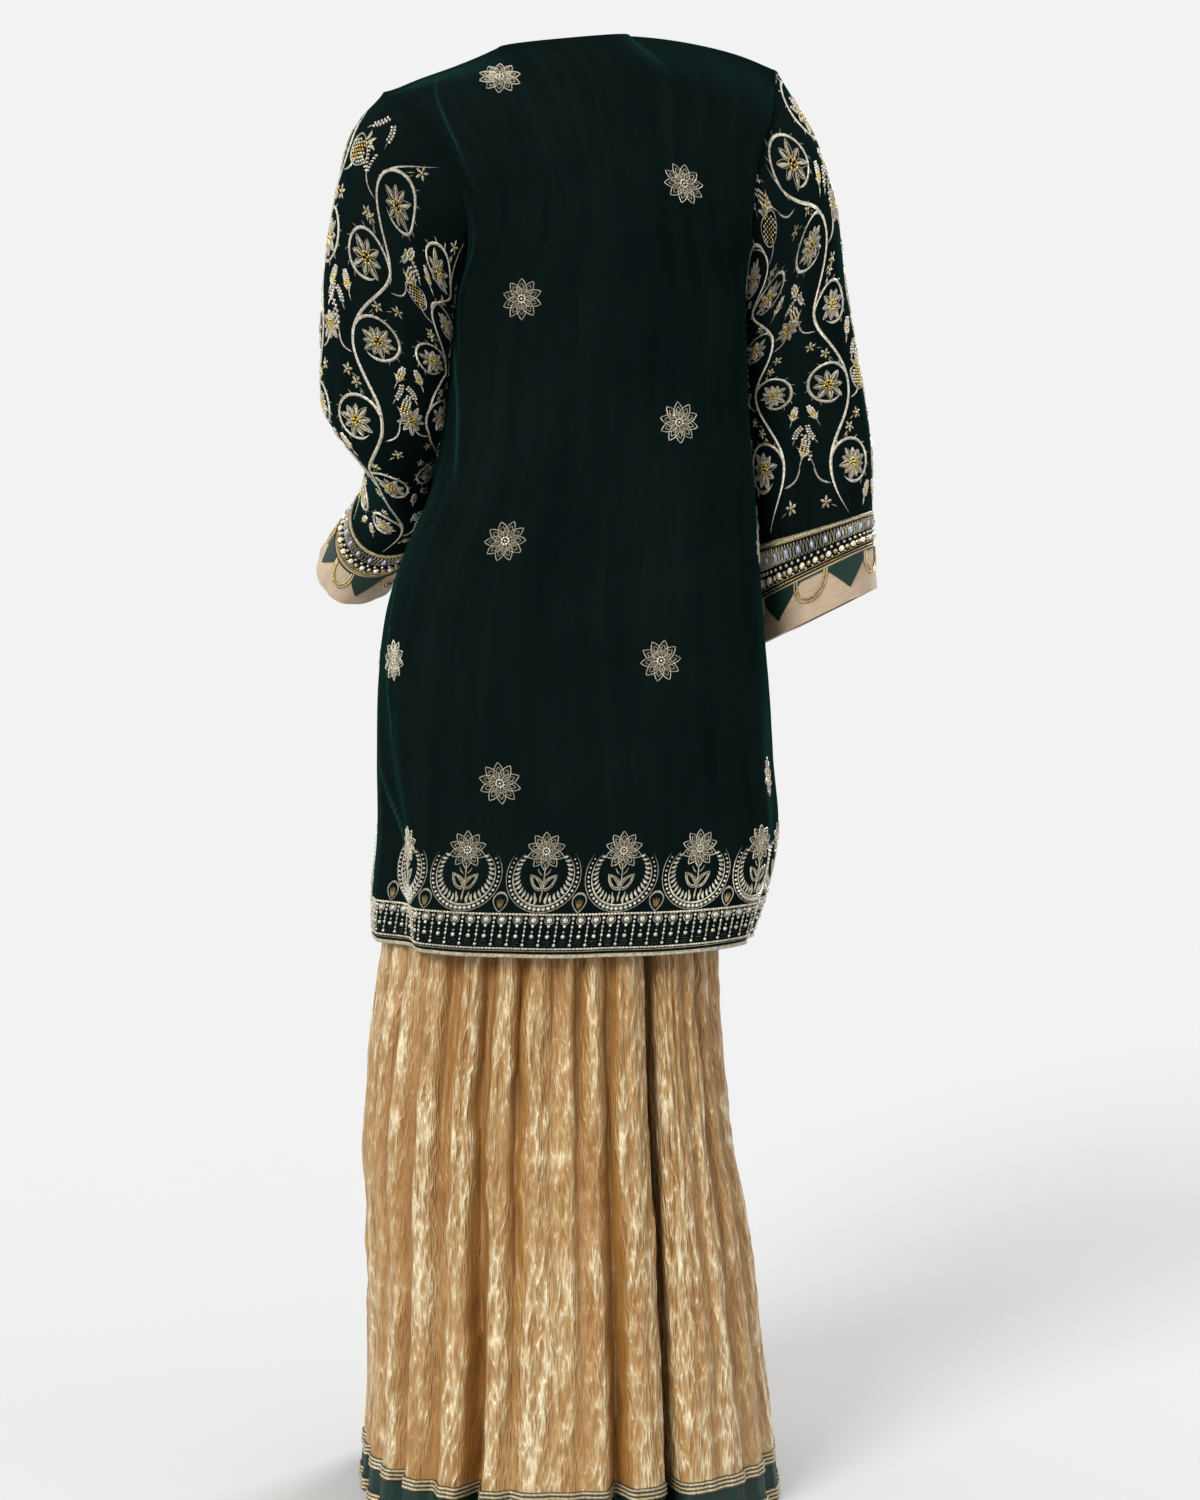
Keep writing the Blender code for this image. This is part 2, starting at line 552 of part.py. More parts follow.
def make_kurta():
    u = np.linspace(-1, 1, PANEL_COLUMNS + 1)
    v = panel_rows()
    for panel, sign in (("back", -1), ("front", 1)):
        outer = kurta_surface(panel, u, v)
        normal = normals(outer, sign)
        seams = np.zeros(outer.shape[:2], bool)
        seams[: ARMPIT + 1, [0, -1]] = True
        seams[-1, np.abs(u) > NECK_SHARE - 0.01] = True
        normal = square_to_seam(normal, seams, 1)
        seams = np.zeros(outer.shape[:2], bool)
        seams[ARMHOLE_UPPER:, [0, -1]] = True
        normal = square_to_seam(normal, seams, 0)
        cloth("kurta_" + panel, outer, outer - normal * VELVET, sign, velvet)
        edge = np.stack([outer[0] - (0, 0, SEAM + PIPING_HIGH), outer[0] - (0, 0, SEAM)])
        out = np.stack([normal[0], normal[0]])
        cloth("kurta_piping_" + panel, edge, edge - out * VELVET, sign, zari)


def make_sleeves():
    v = np.linspace(0, 1, SLEEVE_ROWS + 1)
    for side, name in ((1, "left"), (-1, "right")):
        w = sleeve_columns(side)
        outer = sleeve_surface(side, w, v)
        normal = normals(outer, side, ring=True)
        seam = np.zeros(outer.shape[:2], bool)
        seam[0] = True
        normal = square_to_seam(normal, seam, 0)
        cloth("sleeve_" + name, outer, outer - normal * VELVET, side, velvet, ring=True)
        w_cuff = np.linspace(0, 1, CUFF_COLUMNS, endpoint=False)
        drops = np.array([CUFF_SEAM, CUFF_BAND * 0.5, CUFF_BAND])
        band = cuff_surface(side, w_cuff, drops)
        normal = normals(band, side, ring=True)
        cloth("cuff_band_" + name, band, band - normal * SILK, side, cream, ring=True)
        top = band[0] + (band[1] - band[0]) * POINTS_START
        beside = np.abs(np.mod(w_cuff * CUFF_REPEATS, 1) - 0.5) * 2
        share = (POINTS_BAND + POINTS_LONG * np.clip(1 - beside * POINTS_STEEP, 0, 1))[:, None]
        low = band[0] + (band[2] - band[0]) * share
        over = np.stack([top, low]) + normal[:2] * (SEAM + TRIM)
        cloth("cuff_points_" + name, over, over - normal[:2] * TRIM, side, green_silk, ring=True)


def make_trousers():
    for side, name in ((1, "left"), (-1, "right")):
        leg_piece("leg_" + name, side, np.array(LEG_ROWS), 0.0, TISSUE, tissue)
        rows = np.array([BAND_TOP - SEAM, HEM])
        leg_piece("hem_band_" + name, side, rows, 0.0, SILK, green_silk)
        for place, top in (("upper", BAND_TOP + TRIM_HIGH / 2), ("lower", HEM + TRIM_HIGH)):
            rows = np.array([top, top - TRIM_HIGH])
            leg_piece("hem_trim_" + place + "_" + name, side, rows, SEAM + TRIM, TRIM, zari)
    t = np.linspace(0, 2 * np.pi, WAIST_COLUMNS, endpoint=False)
    o = OUTLINES[0]
    middle, half = (o.left + o.right) / 2, (o.left - o.right) / 2
    depth = np.where(np.sin(t) > 0, o.back, -o.front)
    x = middle + half * np.sign(np.cos(t)) * np.abs(np.cos(t)) ** (2 / SQUARE_LEGS)
    y = depth * np.sign(np.sin(t)) * np.abs(np.sin(t)) ** (2 / SQUARE_LEGS)
    z = np.array([o.z + SEAM, o.z + WAISTBAND])
    outer = np.stack([np.stack([x, y, np.full(len(t), height)], axis=1) for height in z])
    normal = normals(outer, 1, ring=True)
    cloth("waistband", outer, outer - normal * TISSUE, 1, tissue, ring=True)


for old in list(bpy.data.objects):
    bpy.data.objects.remove(old)
suit = bpy.data.collections.new("Salwar suit")
bpy.context.scene.collection.children.link(suit)

velvet = material("velvet", BOTTLE_GREEN, 0.9, 0.0)
green_silk = material("green silk", GREEN_SILK, 0.5, 0.0)
tissue = material("gold tissue", GOLD_TISSUE, 0.35, 0.5)
cream = material("cream silk", CREAM_SILK, 0.45, 0.0)
zari = material("zari", ZARI, 0.35, 0.8)

make_kurta()
make_sleeves()
make_trousers()
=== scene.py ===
"""A velvet kurta worn over wide gathered trousers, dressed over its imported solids.

The cloth is laid over the same sections as the solids, with finer columns and rows, and gets its
creases and crinkle. Thread, beads and stones are laid on the cloth by charts: maps of a cloth
surface in metres. Metres, +Z up, front to -Y, the wearer's left at +X.
"""

from collections import namedtuple

import bpy
import numpy as np
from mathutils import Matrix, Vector


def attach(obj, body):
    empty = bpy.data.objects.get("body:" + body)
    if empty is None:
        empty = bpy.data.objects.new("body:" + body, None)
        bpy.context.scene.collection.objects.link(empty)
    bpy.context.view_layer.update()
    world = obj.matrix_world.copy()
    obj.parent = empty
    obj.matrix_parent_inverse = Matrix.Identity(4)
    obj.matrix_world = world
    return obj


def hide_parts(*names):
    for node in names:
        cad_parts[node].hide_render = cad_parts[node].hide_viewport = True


bl_info = {
    "name": "Velvet salwar suit",
    "version": (1, 0, 0),
    "blender": (4, 5, 0),
    "location": "3D View > Sidebar > Salwar suit",
    "description": "Dresses the salwar suit in velvet, tissue, silk and metal thread",
    "category": "Object",
}

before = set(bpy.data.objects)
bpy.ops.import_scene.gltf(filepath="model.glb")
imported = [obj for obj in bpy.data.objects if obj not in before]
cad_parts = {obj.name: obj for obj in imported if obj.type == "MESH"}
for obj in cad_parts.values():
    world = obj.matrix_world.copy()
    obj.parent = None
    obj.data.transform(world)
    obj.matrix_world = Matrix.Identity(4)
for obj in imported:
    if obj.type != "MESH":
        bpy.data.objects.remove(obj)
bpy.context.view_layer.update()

# Which way out lies: +X for the wearer's left side, and the sign of a panel's faces.
SIDES = ((1, "left"), (-1, "right"))
PANELS = (("back", -1), ("front", 1))

# Cloth and seams
VELVET = 0.0016
TISSUE = 0.0009
SILK = 0.0012
TRIM = 0.0009
SEAM = 0.0003
ARMHOLE_SEAM = 0.0005

# Kurta, as in the solids
NECK_HALF = 0.064
NECK_CENTRE = 0.009
NECK_BACK = 0.052
NECK_FRONT = 0.066
NECK_FRONT_DROP = 0.078
NECK_BACK_DROP = 0.006
NECK_SHARE = 12 / 28
NECK_ROUND = 1.4
LEVEL_POINTS = 241
NECKLINE_POINTS = 121
FOLD_EDGE = 0.1
PANEL_COLUMNS = 140
PANEL_ROWS = 148

Level = namedtuple("Level", "z_back z_front z_edge left right back front edge_b edge_f square")
LEVELS = (
    Level(-0.866, -0.862, -0.860, 0.197, -0.174, 0.156, -0.132, 0.004, 0.004, 2.9),
    Level(-0.829, -0.826, -0.824, 0.197, -0.186, 0.155, -0.131, 0.004, 0.004, 2.9),
    Level(-0.770, -0.770, -0.766, 0.192, -0.198, 0.152, -0.130, 0.004, 0.004, 2.8),
    Level(-0.690, -0.690, -0.690, 0.192, -0.193, 0.147, -0.127, 0.004, 0.004, 2.7),
    Level(-0.610, -0.610, -0.610, 0.190, -0.189, 0.140, -0.123, 0.004, 0.004, 2.6),
    Level(-0.545, -0.545, -0.545, 0.182, -0.185, 0.131, -0.120, 0.004, 0.004, 2.5),
    Level(-0.488, -0.488, -0.488, 0.164, -0.181, 0.121, -0.119, 0.002, 0.002, 2.5),
    Level(-0.434, -0.434, -0.434, 0.140, -0.178, 0.114, -0.120, 0.000, 0.000, 2.5),
    Level(-0.372, -0.372, -0.372, 0.128, -0.173, 0.111, -0.124, 0.000, 0.000, 2.4),
    Level(-0.305, -0.305, -0.305, 0.121, -0.169, 0.114, -0.131, 0.000, 0.000, 2.4),
    Level(-0.240, -0.240, -0.240, 0.116, -0.1665, 0.118, -0.132, 0.000, 0.000, 2.3),
    Level(-0.188, -0.205, -0.202, 0.108, -0.1637, 0.119, -0.126, 0.050, -0.044, 2.2),
    Level(-0.140, -0.172, -0.160, 0.114, -0.1646, 0.115, -0.115, 0.068, -0.058, 2.1),
    Level(-0.092, -0.140, -0.113, 0.137, -0.1715, 0.102, -0.101, 0.061, -0.051, 2.1),
    Level(-0.046, -0.106, -0.070, 0.164, -0.189, 0.080, -0.084, 0.036, -0.031, 2.1),
)
ARMPIT = 10
SHOULDER_TIPS = ((-0.203, 0.0, -0.015), (0.186, 0.0, -0.044))
SHOULDER_BOWS = (0.006, -0.004)
NECK_POINTS = ((NECK_CENTRE - NECK_HALF, 0.0, 0.012), (NECK_CENTRE + NECK_HALF, 0.0, -0.003))

Fold = namedtuple("Fold", "panel u_hem u_top top wide depth")
KURTA_FOLDS = (
    Fold("back", 0.70, 0.94, -0.560, 0.17, 0.019),
    Fold("back", -0.74, -0.80, -0.500, 0.13, 0.008),
    Fold("back", -0.10, -0.16, -0.300, 0.16, 0.004),
    Fold("back", 0.26, 0.22, -0.340, 0.15, 0.003),
    Fold("front", -0.66, -0.76, -0.480, 0.16, 0.011),
    Fold("front", 0.62, 0.74, -0.520, 0.16, 0.012),
    Fold("front", -0.22, -0.16, -0.330, 0.15, 0.005),
    Fold("front", 0.24, 0.18, -0.330, 0.15, 0.005),
)

# Creases pressed up out of the velvet: each runs through three places (u, z), with a half width
# and a height in metres.
Crease = namedtuple("Crease", "panel start middle end wide high")
KURTA_CREASES = (
    Crease("back", (0.90, -0.575), (0.81, -0.640), (0.79, -0.720), 0.0045, 0.0019),
    Crease("back", (0.95, -0.690), (0.83, -0.740), (0.54, -0.835), 0.0050, 0.0022),
    Crease("back", (0.985, -0.640), (0.93, -0.740), (0.86, -0.850), 0.0045, 0.0012),
    Crease("back", (0.97, -0.480), (0.88, -0.545), (0.80, -0.640), 0.0060, 0.0014),
    Crease("back", (0.99, -0.235), (0.80, -0.330), (0.70, -0.440), 0.0090, 0.0016),
    Crease("back", (0.96, -0.150), (0.84, -0.230), (0.80, -0.330), 0.0070, 0.0015),
    Crease("back", (0.72, -0.030), (0.82, -0.080), (0.86, -0.150), 0.0060, 0.0012),
    Crease("back", (-0.95, -0.170), (-0.84, -0.260), (-0.78, -0.360), 0.0090, 0.0015),
    Crease("back", (-0.97, -0.560), (-0.88, -0.680), (-0.80, -0.850), 0.0070, 0.0016),
    Crease("front", (0.95, -0.170), (0.82, -0.260), (0.78, -0.360), 0.0090, 0.0015),
    Crease("front", (-0.95, -0.170), (-0.84, -0.260), (-0.78, -0.360), 0.0090, 0.0015),
    Crease("front", (0.92, -0.580), (0.80, -0.640), (0.76, -0.740), 0.0060, 0.0014),
    Crease("front", (-0.93, -0.640), (-0.80, -0.700), (-0.62, -0.800), 0.0060, 0.0012),
)
METRES_PER_U = 0.25
CREASE_STEPS = 24
# How much narrower than its crease each line of painted teal sheen on the velvet is.
SHEEN_LINE_NARROWING = 0.45
HIGHEST_CREASE = 0.0022

# Where the pile rounds the shoulder corners, and how far: in and down, over this reach.
CORNER_IN = {1: (-0.0030, -0.0042), -1: (0.0016, -0.0022)}
CORNER_REACH = 0.020

# The sleeves' sides next to the body lie closer to it by this much between these heights.
NESTLE = {1: 0.0042, -1: 0.0032}
NESTLE_LEVELS = (-0.500, -0.450, -0.270, -0.235)
NESTLE_SHARES = (0.0, 1.0, 1.0, 0.0)
NESTLE_WIDE = 0.17
RIPPLE_CELLS = (14, 3.2)
RIPPLE_HIGH = 0.0016
RIPPLE_SEEDS = {"back": 11, "front": 12}
RIPPLE_START = 20
RIPPLE_FROM = 0.15

# Sleeves, as in the solids
Ring = namedtuple("Ring", "x y z wide deep tilt turn")
SLEEVE_RIGHT = (
    Ring(-0.2037, 0.006, -0.165, 0.0878, 0.0660, 1.175, 0.00),
    Ring(-0.2135, 0.004, -0.200, 0.0740, 0.0680, 0.955, 0.00),
    Ring(-0.2225, -0.004, -0.262, 0.0590, 0.0660, 0.60, 0.00),
    Ring(-0.2330, -0.010, -0.325, 0.0565, 0.0650, 0.22, 0.02),
    Ring(-0.2420, -0.016, -0.385, 0.0585, 0.0650, 0.08, 0.04),
    Ring(-0.2445, -0.022, -0.445, 0.0600, 0.0660, 0.22, 0.02),
    Ring(-0.2475, -0.026, -0.485, 0.0620, 0.0680, 0.38, -0.06),
    Ring(-0.2490, -0.028, -0.508, 0.0630, 0.0690, 0.44, -0.12),
)
SLEEVE_LEFT = (
    Ring(0.1678, 0.007, -0.1725, 0.0919, 0.0660, -1.004, 0.00),
    Ring(0.1743, 0.006, -0.1985, 0.0829, 0.0700, -0.873, 0.00),
    Ring(0.1830, 0.004, -0.257, 0.0682, 0.0680, -0.54, 0.00),
    Ring(0.1863, 0.000, -0.3125, 0.0600, 0.0680, -0.208, 0.10),
    Ring(0.1855, -0.012, -0.355, 0.0560, 0.0680, -0.04, 0.42),
    Ring(0.1675, -0.050, -0.392, 0.0335, 0.0600, 0.00, 0.85),
    Ring(0.1610, -0.090, -0.418, 0.0370, 0.0530, 0.06, 0.98),
    Ring(0.1635, -0.130, -0.443, 0.0410, 0.0490, 0.12, 1.02),
    Ring(0.1775, -0.160, -0.468, 0.0450, 0.0500, 0.20, 1.00),
)
SLEEVE_COLUMNS = 96
SLEEVE_ROWS = 110
CUFF_BAND = 0.045
CUFF_SEAM = 0.0006
CUFF_REPEATS = 5
CUFF_COLUMNS = 180
CUFF_ROWS = 9
EASE_SEED = 51
EASE_CELLS = 24
EASE_HIGH = 0.003
CUFF_FLARE = 0.9
POINTS_START = 0.04
POINTS_BAND = 0.08
POINTS_LONG = 0.62
POINTS_STEEP = 1.5
POINTS_ROWS = 5
PIPING_HIGH = 0.0035
PIPING_ROUND = 0.0010

# Creases of the sleeves: a place (w, v), the same for the far end, half width and height.
SLEEVE_CREASES = {
    1: (
        ((0.02, 0.47), (0.17, 0.50), (0.30, 0.47), 0.0050, 0.0022),
        ((0.98, 0.52), (1.10, 0.55), (1.24, 0.53), 0.0050, 0.0024),
        ((0.03, 0.60), (0.16, 0.62), (0.28, 0.59), 0.0045, 0.0020),
        ((0.94, 0.44), (1.04, 0.43), (1.14, 0.38), 0.0060, 0.0018),
        ((0.30, 0.16), (0.27, 0.30), (0.33, 0.44), 0.0100, 0.0020),
        ((0.42, 0.56), (0.33, 0.62), (0.26, 0.70), 0.0050, 0.0016),
        ((0.10, 0.14), (0.13, 0.26), (0.10, 0.40), 0.0090, 0.0018),
    ),
    -1: (
        ((0.30, 0.10), (0.27, 0.34), (0.30, 0.60), 0.0120, 0.0018),
        ((0.10, 0.16), (0.14, 0.40), (0.12, 0.66), 0.0100, 0.0018),
        ((0.42, 0.36), (0.40, 0.60), (0.43, 0.86), 0.0100, 0.0016),
        ((0.66, 0.16), (0.70, 0.40), (0.68, 0.70), 0.0120, 0.0018),
    ),
}
METRES_PER_W = 0.38
METRES_PER_V = 0.45
CREASE_ENDS = (0.08, 0.06)
LAST_ROWS = (0.97, 1.0)

# Trousers, as in the solids
Outline = namedtuple("Outline", "z left right back front part_b part_f gap round_l round_r")
OUTLINES = (
    Outline(-0.395, 0.102, -0.146, 0.090, -0.092, -0.022, -0.022, 0.00025, 0.002, 0.002),
    Outline(-0.460, 0.128, -0.158, 0.101, -0.100, -0.018, -0.018, 0.00025, 0.002, 0.002),
    Outline(-0.545, 0.164, -0.170, 0.117, -0.105, -0.012, -0.010, 0.00025, 0.002, 0.002),
    Outline(-0.640, 0.176, -0.168, 0.130, -0.109, -0.010, -0.004, 0.00030, 0.003, 0.003),
    Outline(-0.740, 0.180, -0.158, 0.136, -0.113, -0.030, 0.000, 0.00100, 0.006, 0.005),
    Outline(-0.860, 0.187, -0.142, 0.140, -0.118, -0.058, 0.004, 0.00400, 0.014, 0.009),
    Outline(-0.950, 0.198, -0.143, 0.146, -0.128, -0.062, 0.006, 0.00500, 0.018, 0.010),
    Outline(-1.060, 0.206, -0.154, 0.158, -0.150, -0.066, 0.008, 0.00500, 0.020, 0.010),
    Outline(-1.170, 0.203, -0.174, 0.171, -0.175, -0.069, 0.010, 0.00500, 0.020, 0.010),
    Outline(-1.290, 0.202, -0.186, 0.187, -0.203, -0.072, 0.012, 0.00500, 0.020, 0.010),
    Outline(-1.406, 0.210, -0.200, 0.203, -0.230, -0.074, 0.014, 0.00500, 0.020, 0.010),
)
SQUARE_LEGS = 2.5
HEM = -1.406
BAND_TOP = -1.366
TRIM_HIGH = 0.012
BRAID_HIGH = 0.0011
BRAID_RIBS = 3
BRAID_REPEATS = 260
BRAID_COLUMNS = (520, 90)
BRAID_ROWS = 7
BAND_ROWS = 6
WAIST = -0.395
UNDER_KURTA = -0.840
CROTCH = -0.740
OUTER_COLUMNS = 290
INNER_COLUMNS = 50
HIDDEN_ROWS = 12
SHOWN_ROWS = 100
WAISTBAND = 0.034
WAIST_COLUMNS = 240
WAIST_ROWS = 9
WAIST_TUCKS = 60
TUCK_DEEP = 0.0014
UNDER = 0.0040
PRESSED_BELOW = 0.03

Gather = namedtuple("Gather", "at wide knee half hem")
GATHERS_LEFT = (
    Gather(0.070, 0.021, 0.014, 0.020, 0.030),
    Gather(0.118, 0.018, 0.013, 0.006, 0.002),
    Gather(0.160, 0.018, 0.012, 0.004, 0.002),
    Gather(0.213, 0.022, 0.014, 0.012, 0.007),
    Gather(0.268, 0.021, 0.014, 0.020, 0.036),
    Gather(0.330, 0.024, 0.013, 0.010, 0.012),
    Gather(0.392, 0.022, 0.012, 0.014, 0.016),
    Gather(0.450, 0.022, 0.013, 0.010, 0.006),
    Gather(0.512, 0.023, 0.012, 0.018, 0.026),
    Gather(0.574, 0.022, 0.013, 0.008, 0.006),
    Gather(0.634, 0.022, 0.012, 0.013, 0.018),
    Gather(0.696, 0.023, 0.013, 0.018, 0.028),
    Gather(0.757, 0.022, 0.012, 0.008, 0.004),
    Gather(0.816, 0.022, 0.013, 0.014, 0.020),
    Gather(0.878, 0.023, 0.012, 0.010, 0.008),
    Gather(0.938, 0.021, 0.012, 0.016, 0.022),
)
GATHERS_RIGHT = (
    Gather(0.074, 0.024, 0.006, 0.004, 0.002),
    Gather(0.140, 0.026, 0.012, 0.009, 0.004),
    Gather(0.216, 0.030, 0.011, 0.010, 0.008),
    Gather(0.300, 0.030, 0.012, 0.016, 0.022),
    Gather(0.380, 0.028, 0.013, 0.010, 0.008),
    Gather(0.458, 0.028, 0.012, 0.018, 0.028),
    Gather(0.536, 0.028, 0.013, 0.008, 0.006),
    Gather(0.612, 0.028, 0.012, 0.014, 0.020),
    Gather(0.690, 0.028, 0.013, 0.018, 0.026),
    Gather(0.768, 0.028, 0.012, 0.008, 0.005),
    Gather(0.846, 0.028, 0.013, 0.014, 0.020),
    Gather(0.922, 0.026, 0.012, 0.010, 0.010),
)
GATHER_DEPTH_LEVELS = (-1.406, -1.130, -0.890, -0.640, -0.395)
LOOP_POINTS = 400
OUTER_POINTS = 500
REACH_COLUMNS = 57
REACH_ROWS = 60
SLOPE_STEP = 0.004
HIP_DEPTH = 0.35
WAIST_DEPTH = 0.12

# Small pleats between the gathers and the crinkle of the tissue. A crumple layer has cells around
# the whole leg, cells for each metre down, and a height in metres.
PLEATS_AROUND = 47
PLEAT_DEEP = 0.0050
PLEAT_SEEDS = {1: 31, -1: 32}
PLEAT_SPREADS = ((-0.25, 0.25), (0.35, 1.0), (0.35, 0.60))
PLEAT_LEVELS = (-1.366, -1.250, -1.050, -0.900, -0.866, -0.800)
PLEAT_SHARES = (0.15, 0.35, 0.75, 1.0, 0.7, 0.0)
Crumple = namedtuple("Crumple", "around down high slant")
CRUMPLES = (
    Crumple(44, 4.0, 0.0013, 0.3),
    Crumple(83, 13.0, 0.0011, -0.5),
    Crumple(139, 30.0, 0.0010, 0.8),
)
# The lattice's slow bends: a step of the seed, cells around and for each metre down.
CRUMPLE_SEEDS = {1: 7, -1: 8}
CRUMPLE_BENDS = ((1, 19, 7), (2, 41, 15))
BENT = 1.5
SLANTS = 7

# Creases of the tissue too fine to be cut: length across and down in metres, turn, place, share.
TISSUE_CREASES = (
    ((1 / 45, 1 / 7), 0.04, 2.0, 0.26),
    ((1 / 110, 1 / 22), -0.16, 5.0, 0.34),
    ((1 / 300, 1 / 48), 0.05, 9.0, 0.40),
)
CRUMPLE_LEVELS = (-1.364, -1.352, -1.300, -0.960, -0.900, -0.872)
CRUMPLE_SHARES = (0.0, 0.6, 1.0, 1.0, 0.55, 0.0)
# How far crinkle lifts a place out of the painted valley shade, and the fold depth where that painted shade
# is darkest.
CRINKLE_SHOWS = 1.5
DEEPEST = 0.016

# Stitches. A chart reaches this far each way across and is read off at these steps.
CHART_REACH = 0.36
CHART_STEP = 0.001
SUNK = 0.0003
STROKE_ENDS = (8, 0.15)
BEAD_SHOULDER = 0.72
THREADS = ("silver thread", "pale gold thread", "satin thread", "gold thread", "clear stones", "yellow beads",
           "pearls", "lilac crystals", "gold cabochons")
SILVER, PALE, SATIN, GOLD, STONE, YELLOW, PEARL, CRYSTAL, CABOCHON = range(len(THREADS))

# One repeat of lace, in metres from its middle and up from the hem: the crown's threads (half length,
# up, width, height) and the beads of pendant and pillar (across, up, radius, height).
LACE_PITCH = 0.0147
LACE_ROOM = 0.002
PILLAR_X = LACE_PITCH / 2
CROWN_LINES = (
    (0.0022, 0.0142, 0.0014, 0.0011, SILVER),
    (0.0030, 0.0118, 0.0019, 0.0013, PALE),
    (0.0034, 0.0098, 0.0012, 0.0010, SILVER),
    (0.0026, 0.0080, 0.0016, 0.0011, PALE),
)
LACE_BEADS = (
    (0.0, 0.0318, 0.0032, 0.0022, STONE),
    (0.0, 0.0262, 0.0016, 0.0016, SILVER),
    (0.0, 0.0208, 0.0011, 0.0013, STONE),
    (PILLAR_X, 0.0335, 0.0017, 0.0015, STONE),
    (PILLAR_X, 0.0295, 0.0012, 0.0015, SILVER),
    (PILLAR_X, 0.0255, 0.0015, 0.0015, STONE),
    (PILLAR_X, 0.0215, 0.0010, 0.0015, SILVER),
    (PILLAR_X, 0.0175, 0.0014, 0.0015, SILVER),
    (PILLAR_X, 0.0125, 0.0010, 0.0015, SILVER),
    (PILLAR_X, 0.0085, 0.0017, 0.0015, STONE),
    (0.0, 0.0165, 0.0022, 0.0019, STONE),
)

# The hem's crescents and drops, the borders of sleeves and cuffs, and the room kept at seams.
CRESCENT_PITCH = 0.0735
PEARL_PITCH = 0.0072
BORDER_POINTS = 160
RING_POINTS = 150
CRESCENT_UP = 0.0735
CRESCENT_ROOM = 0.034
DROP_UP = 0.0392
DROP_ROOM = 0.012
CRESCENT_MIDDLE = {"back": 0.049, "front": 0.0}
STEM_WIDE = 0.0037
STEM_HIGH = 0.0012
CORD_RADIUS = 0.0011
CORD_DROP = 0.002
FULL_CUFF = 0.40
CORD_LOOPS = ((0.0180, 0.0250), (0.0150, 0.0218))

# Scattered flowers: a half-drop repeat, each column half a repeat above the one before it.
BUTI_COLUMNS = (-0.205, -0.065, 0.090, 0.210)
BUTI_REPEAT = 0.228
BUTI_FIRST = 0.160
FLOWER_TURN = 40

# The sleeves' creeper: climbing stems that sway from side to side, with a scroll in every hollow
# and a sprig on every bulge. Sizes are for a sleeve this wide, and follow its taper.
CREEPER_STEMS = 5
CREEPER_FROM = 0.044
CREEPER_END = 0.008
STEM_FOOT = 0.006
STEM_POINTS = 90
CREEPER_LAP = 0.38
HALF_WAVE = 0.080
WAVE_OUT = 0.015
SCROLL = 0.0225
SCROLL_FLOWERS = ((0.76, 9), (0.72, 11), (0.80, 8))
TAPER = (0.74, 1.25)
SPRIGS = ("bud", "heap", "flower", "berries", "bulb", "bud", "berries")

# Tints of the velvet's painted teal sheen along its creases, and of the tissue from the painted brown
# shade of its deepest valleys to the painted silvery highlight on its crests.
PAINTED_SHEEN_TINT = (3.6, 8.3, 7.2)
TISSUE_SHADE_AND_HIGHLIGHT_TINTS = (
    (0.08, (0.68, 0.52, 0.30)),
    (0.34, (0.92, 0.82, 0.62)),
    (0.54, (1.10, 1.20, 1.35)),
    (0.86, (1.90, 2.75, 5.20)),
)
# Thread, beads and braid: colour, roughness, metal, turns of thread a metre, coat, ribs.
METALS = (
    ("piping cord", (0.42, 0.37, 0.26), 0.5, 0.3, 500.0),
    ("silver thread", (0.56, 0.52, 0.42), 0.42, 0.45, 420.0),
    ("pale gold thread", (0.46, 0.41, 0.28), 0.45, 0.4, 520.0),
    ("satin thread", (0.50, 0.46, 0.37), 0.36, 0.25, 900.0),
    ("gold thread", (0.50, 0.38, 0.17), 0.38, 0.6, 520.0),
    ("clear stones", (0.44, 0.41, 0.33), 0.18, 0.4, 0.0, 0.7),
    ("yellow beads", (0.50, 0.36, 0.08), 0.25, 0.8, 0.0, 0.5),
    ("pearls", (0.66, 0.60, 0.48), 0.28, 0.0, 0.0, 0.8),
    ("lilac crystals", (0.36, 0.40, 0.56), 0.08, 0.2, 0.0, 1.0),
    ("gold cabochons", (0.36, 0.24, 0.09), 0.25, 0.75, 0.0, 0.8),
    ("gold braid", (0.44, 0.36, 0.21), 0.42, 0.4, 420.0, 0.0, BRAID_RIBS / TRIM_HIGH),
)

# The stage: the floor's drop under the hem, where the lights behind stand, and the camera, turned
# and dipped by degrees.
FLOOR_BELOW = 0.0015
FLOOR_POINTS = 9
KEY_FROM = (1.9, 2.2, 1.7)
SIDE_FROM = (-2.4, 1.5, 0.7)
CAMERA_AT = (0.3877, 2.7731, -0.556)
CAMERA_TURN = 8.5
CAMERA_DIP = 2.6
SENSOR = 36.0

Materials = {}


# ---------------------------------------------------------------- sections of the cloth


def curve_through(knots, values, at):
    """A smooth curve through rows of values: cubic pieces whose slopes follow the neighbouring rows."""
    knots, values, at = np.asarray(knots, float), np.asarray(values, float), np.asarray(at, float)
    slopes = np.gradient(values, knots, axis=0)
    i = np.clip(np.searchsorted(knots, at, side="right") - 1, 0, len(knots) - 2)
    step = knots[i + 1] - knots[i]
    t = np.clip((at - knots[i]) / step, 0.0, 1.0)
    extra = (1,) * (values.ndim - 1)
    t, step = t.reshape(-1, *extra), step.reshape(-1, *extra)
    start = (2 * t**3 - 3 * t**2 + 1) * values[i] + (t**3 - 2 * t**2 + t) * step * slopes[i]
    return start + (3 * t**2 - 2 * t**3) * values[i + 1] + (t**3 - t**2) * step * slopes[i + 1]


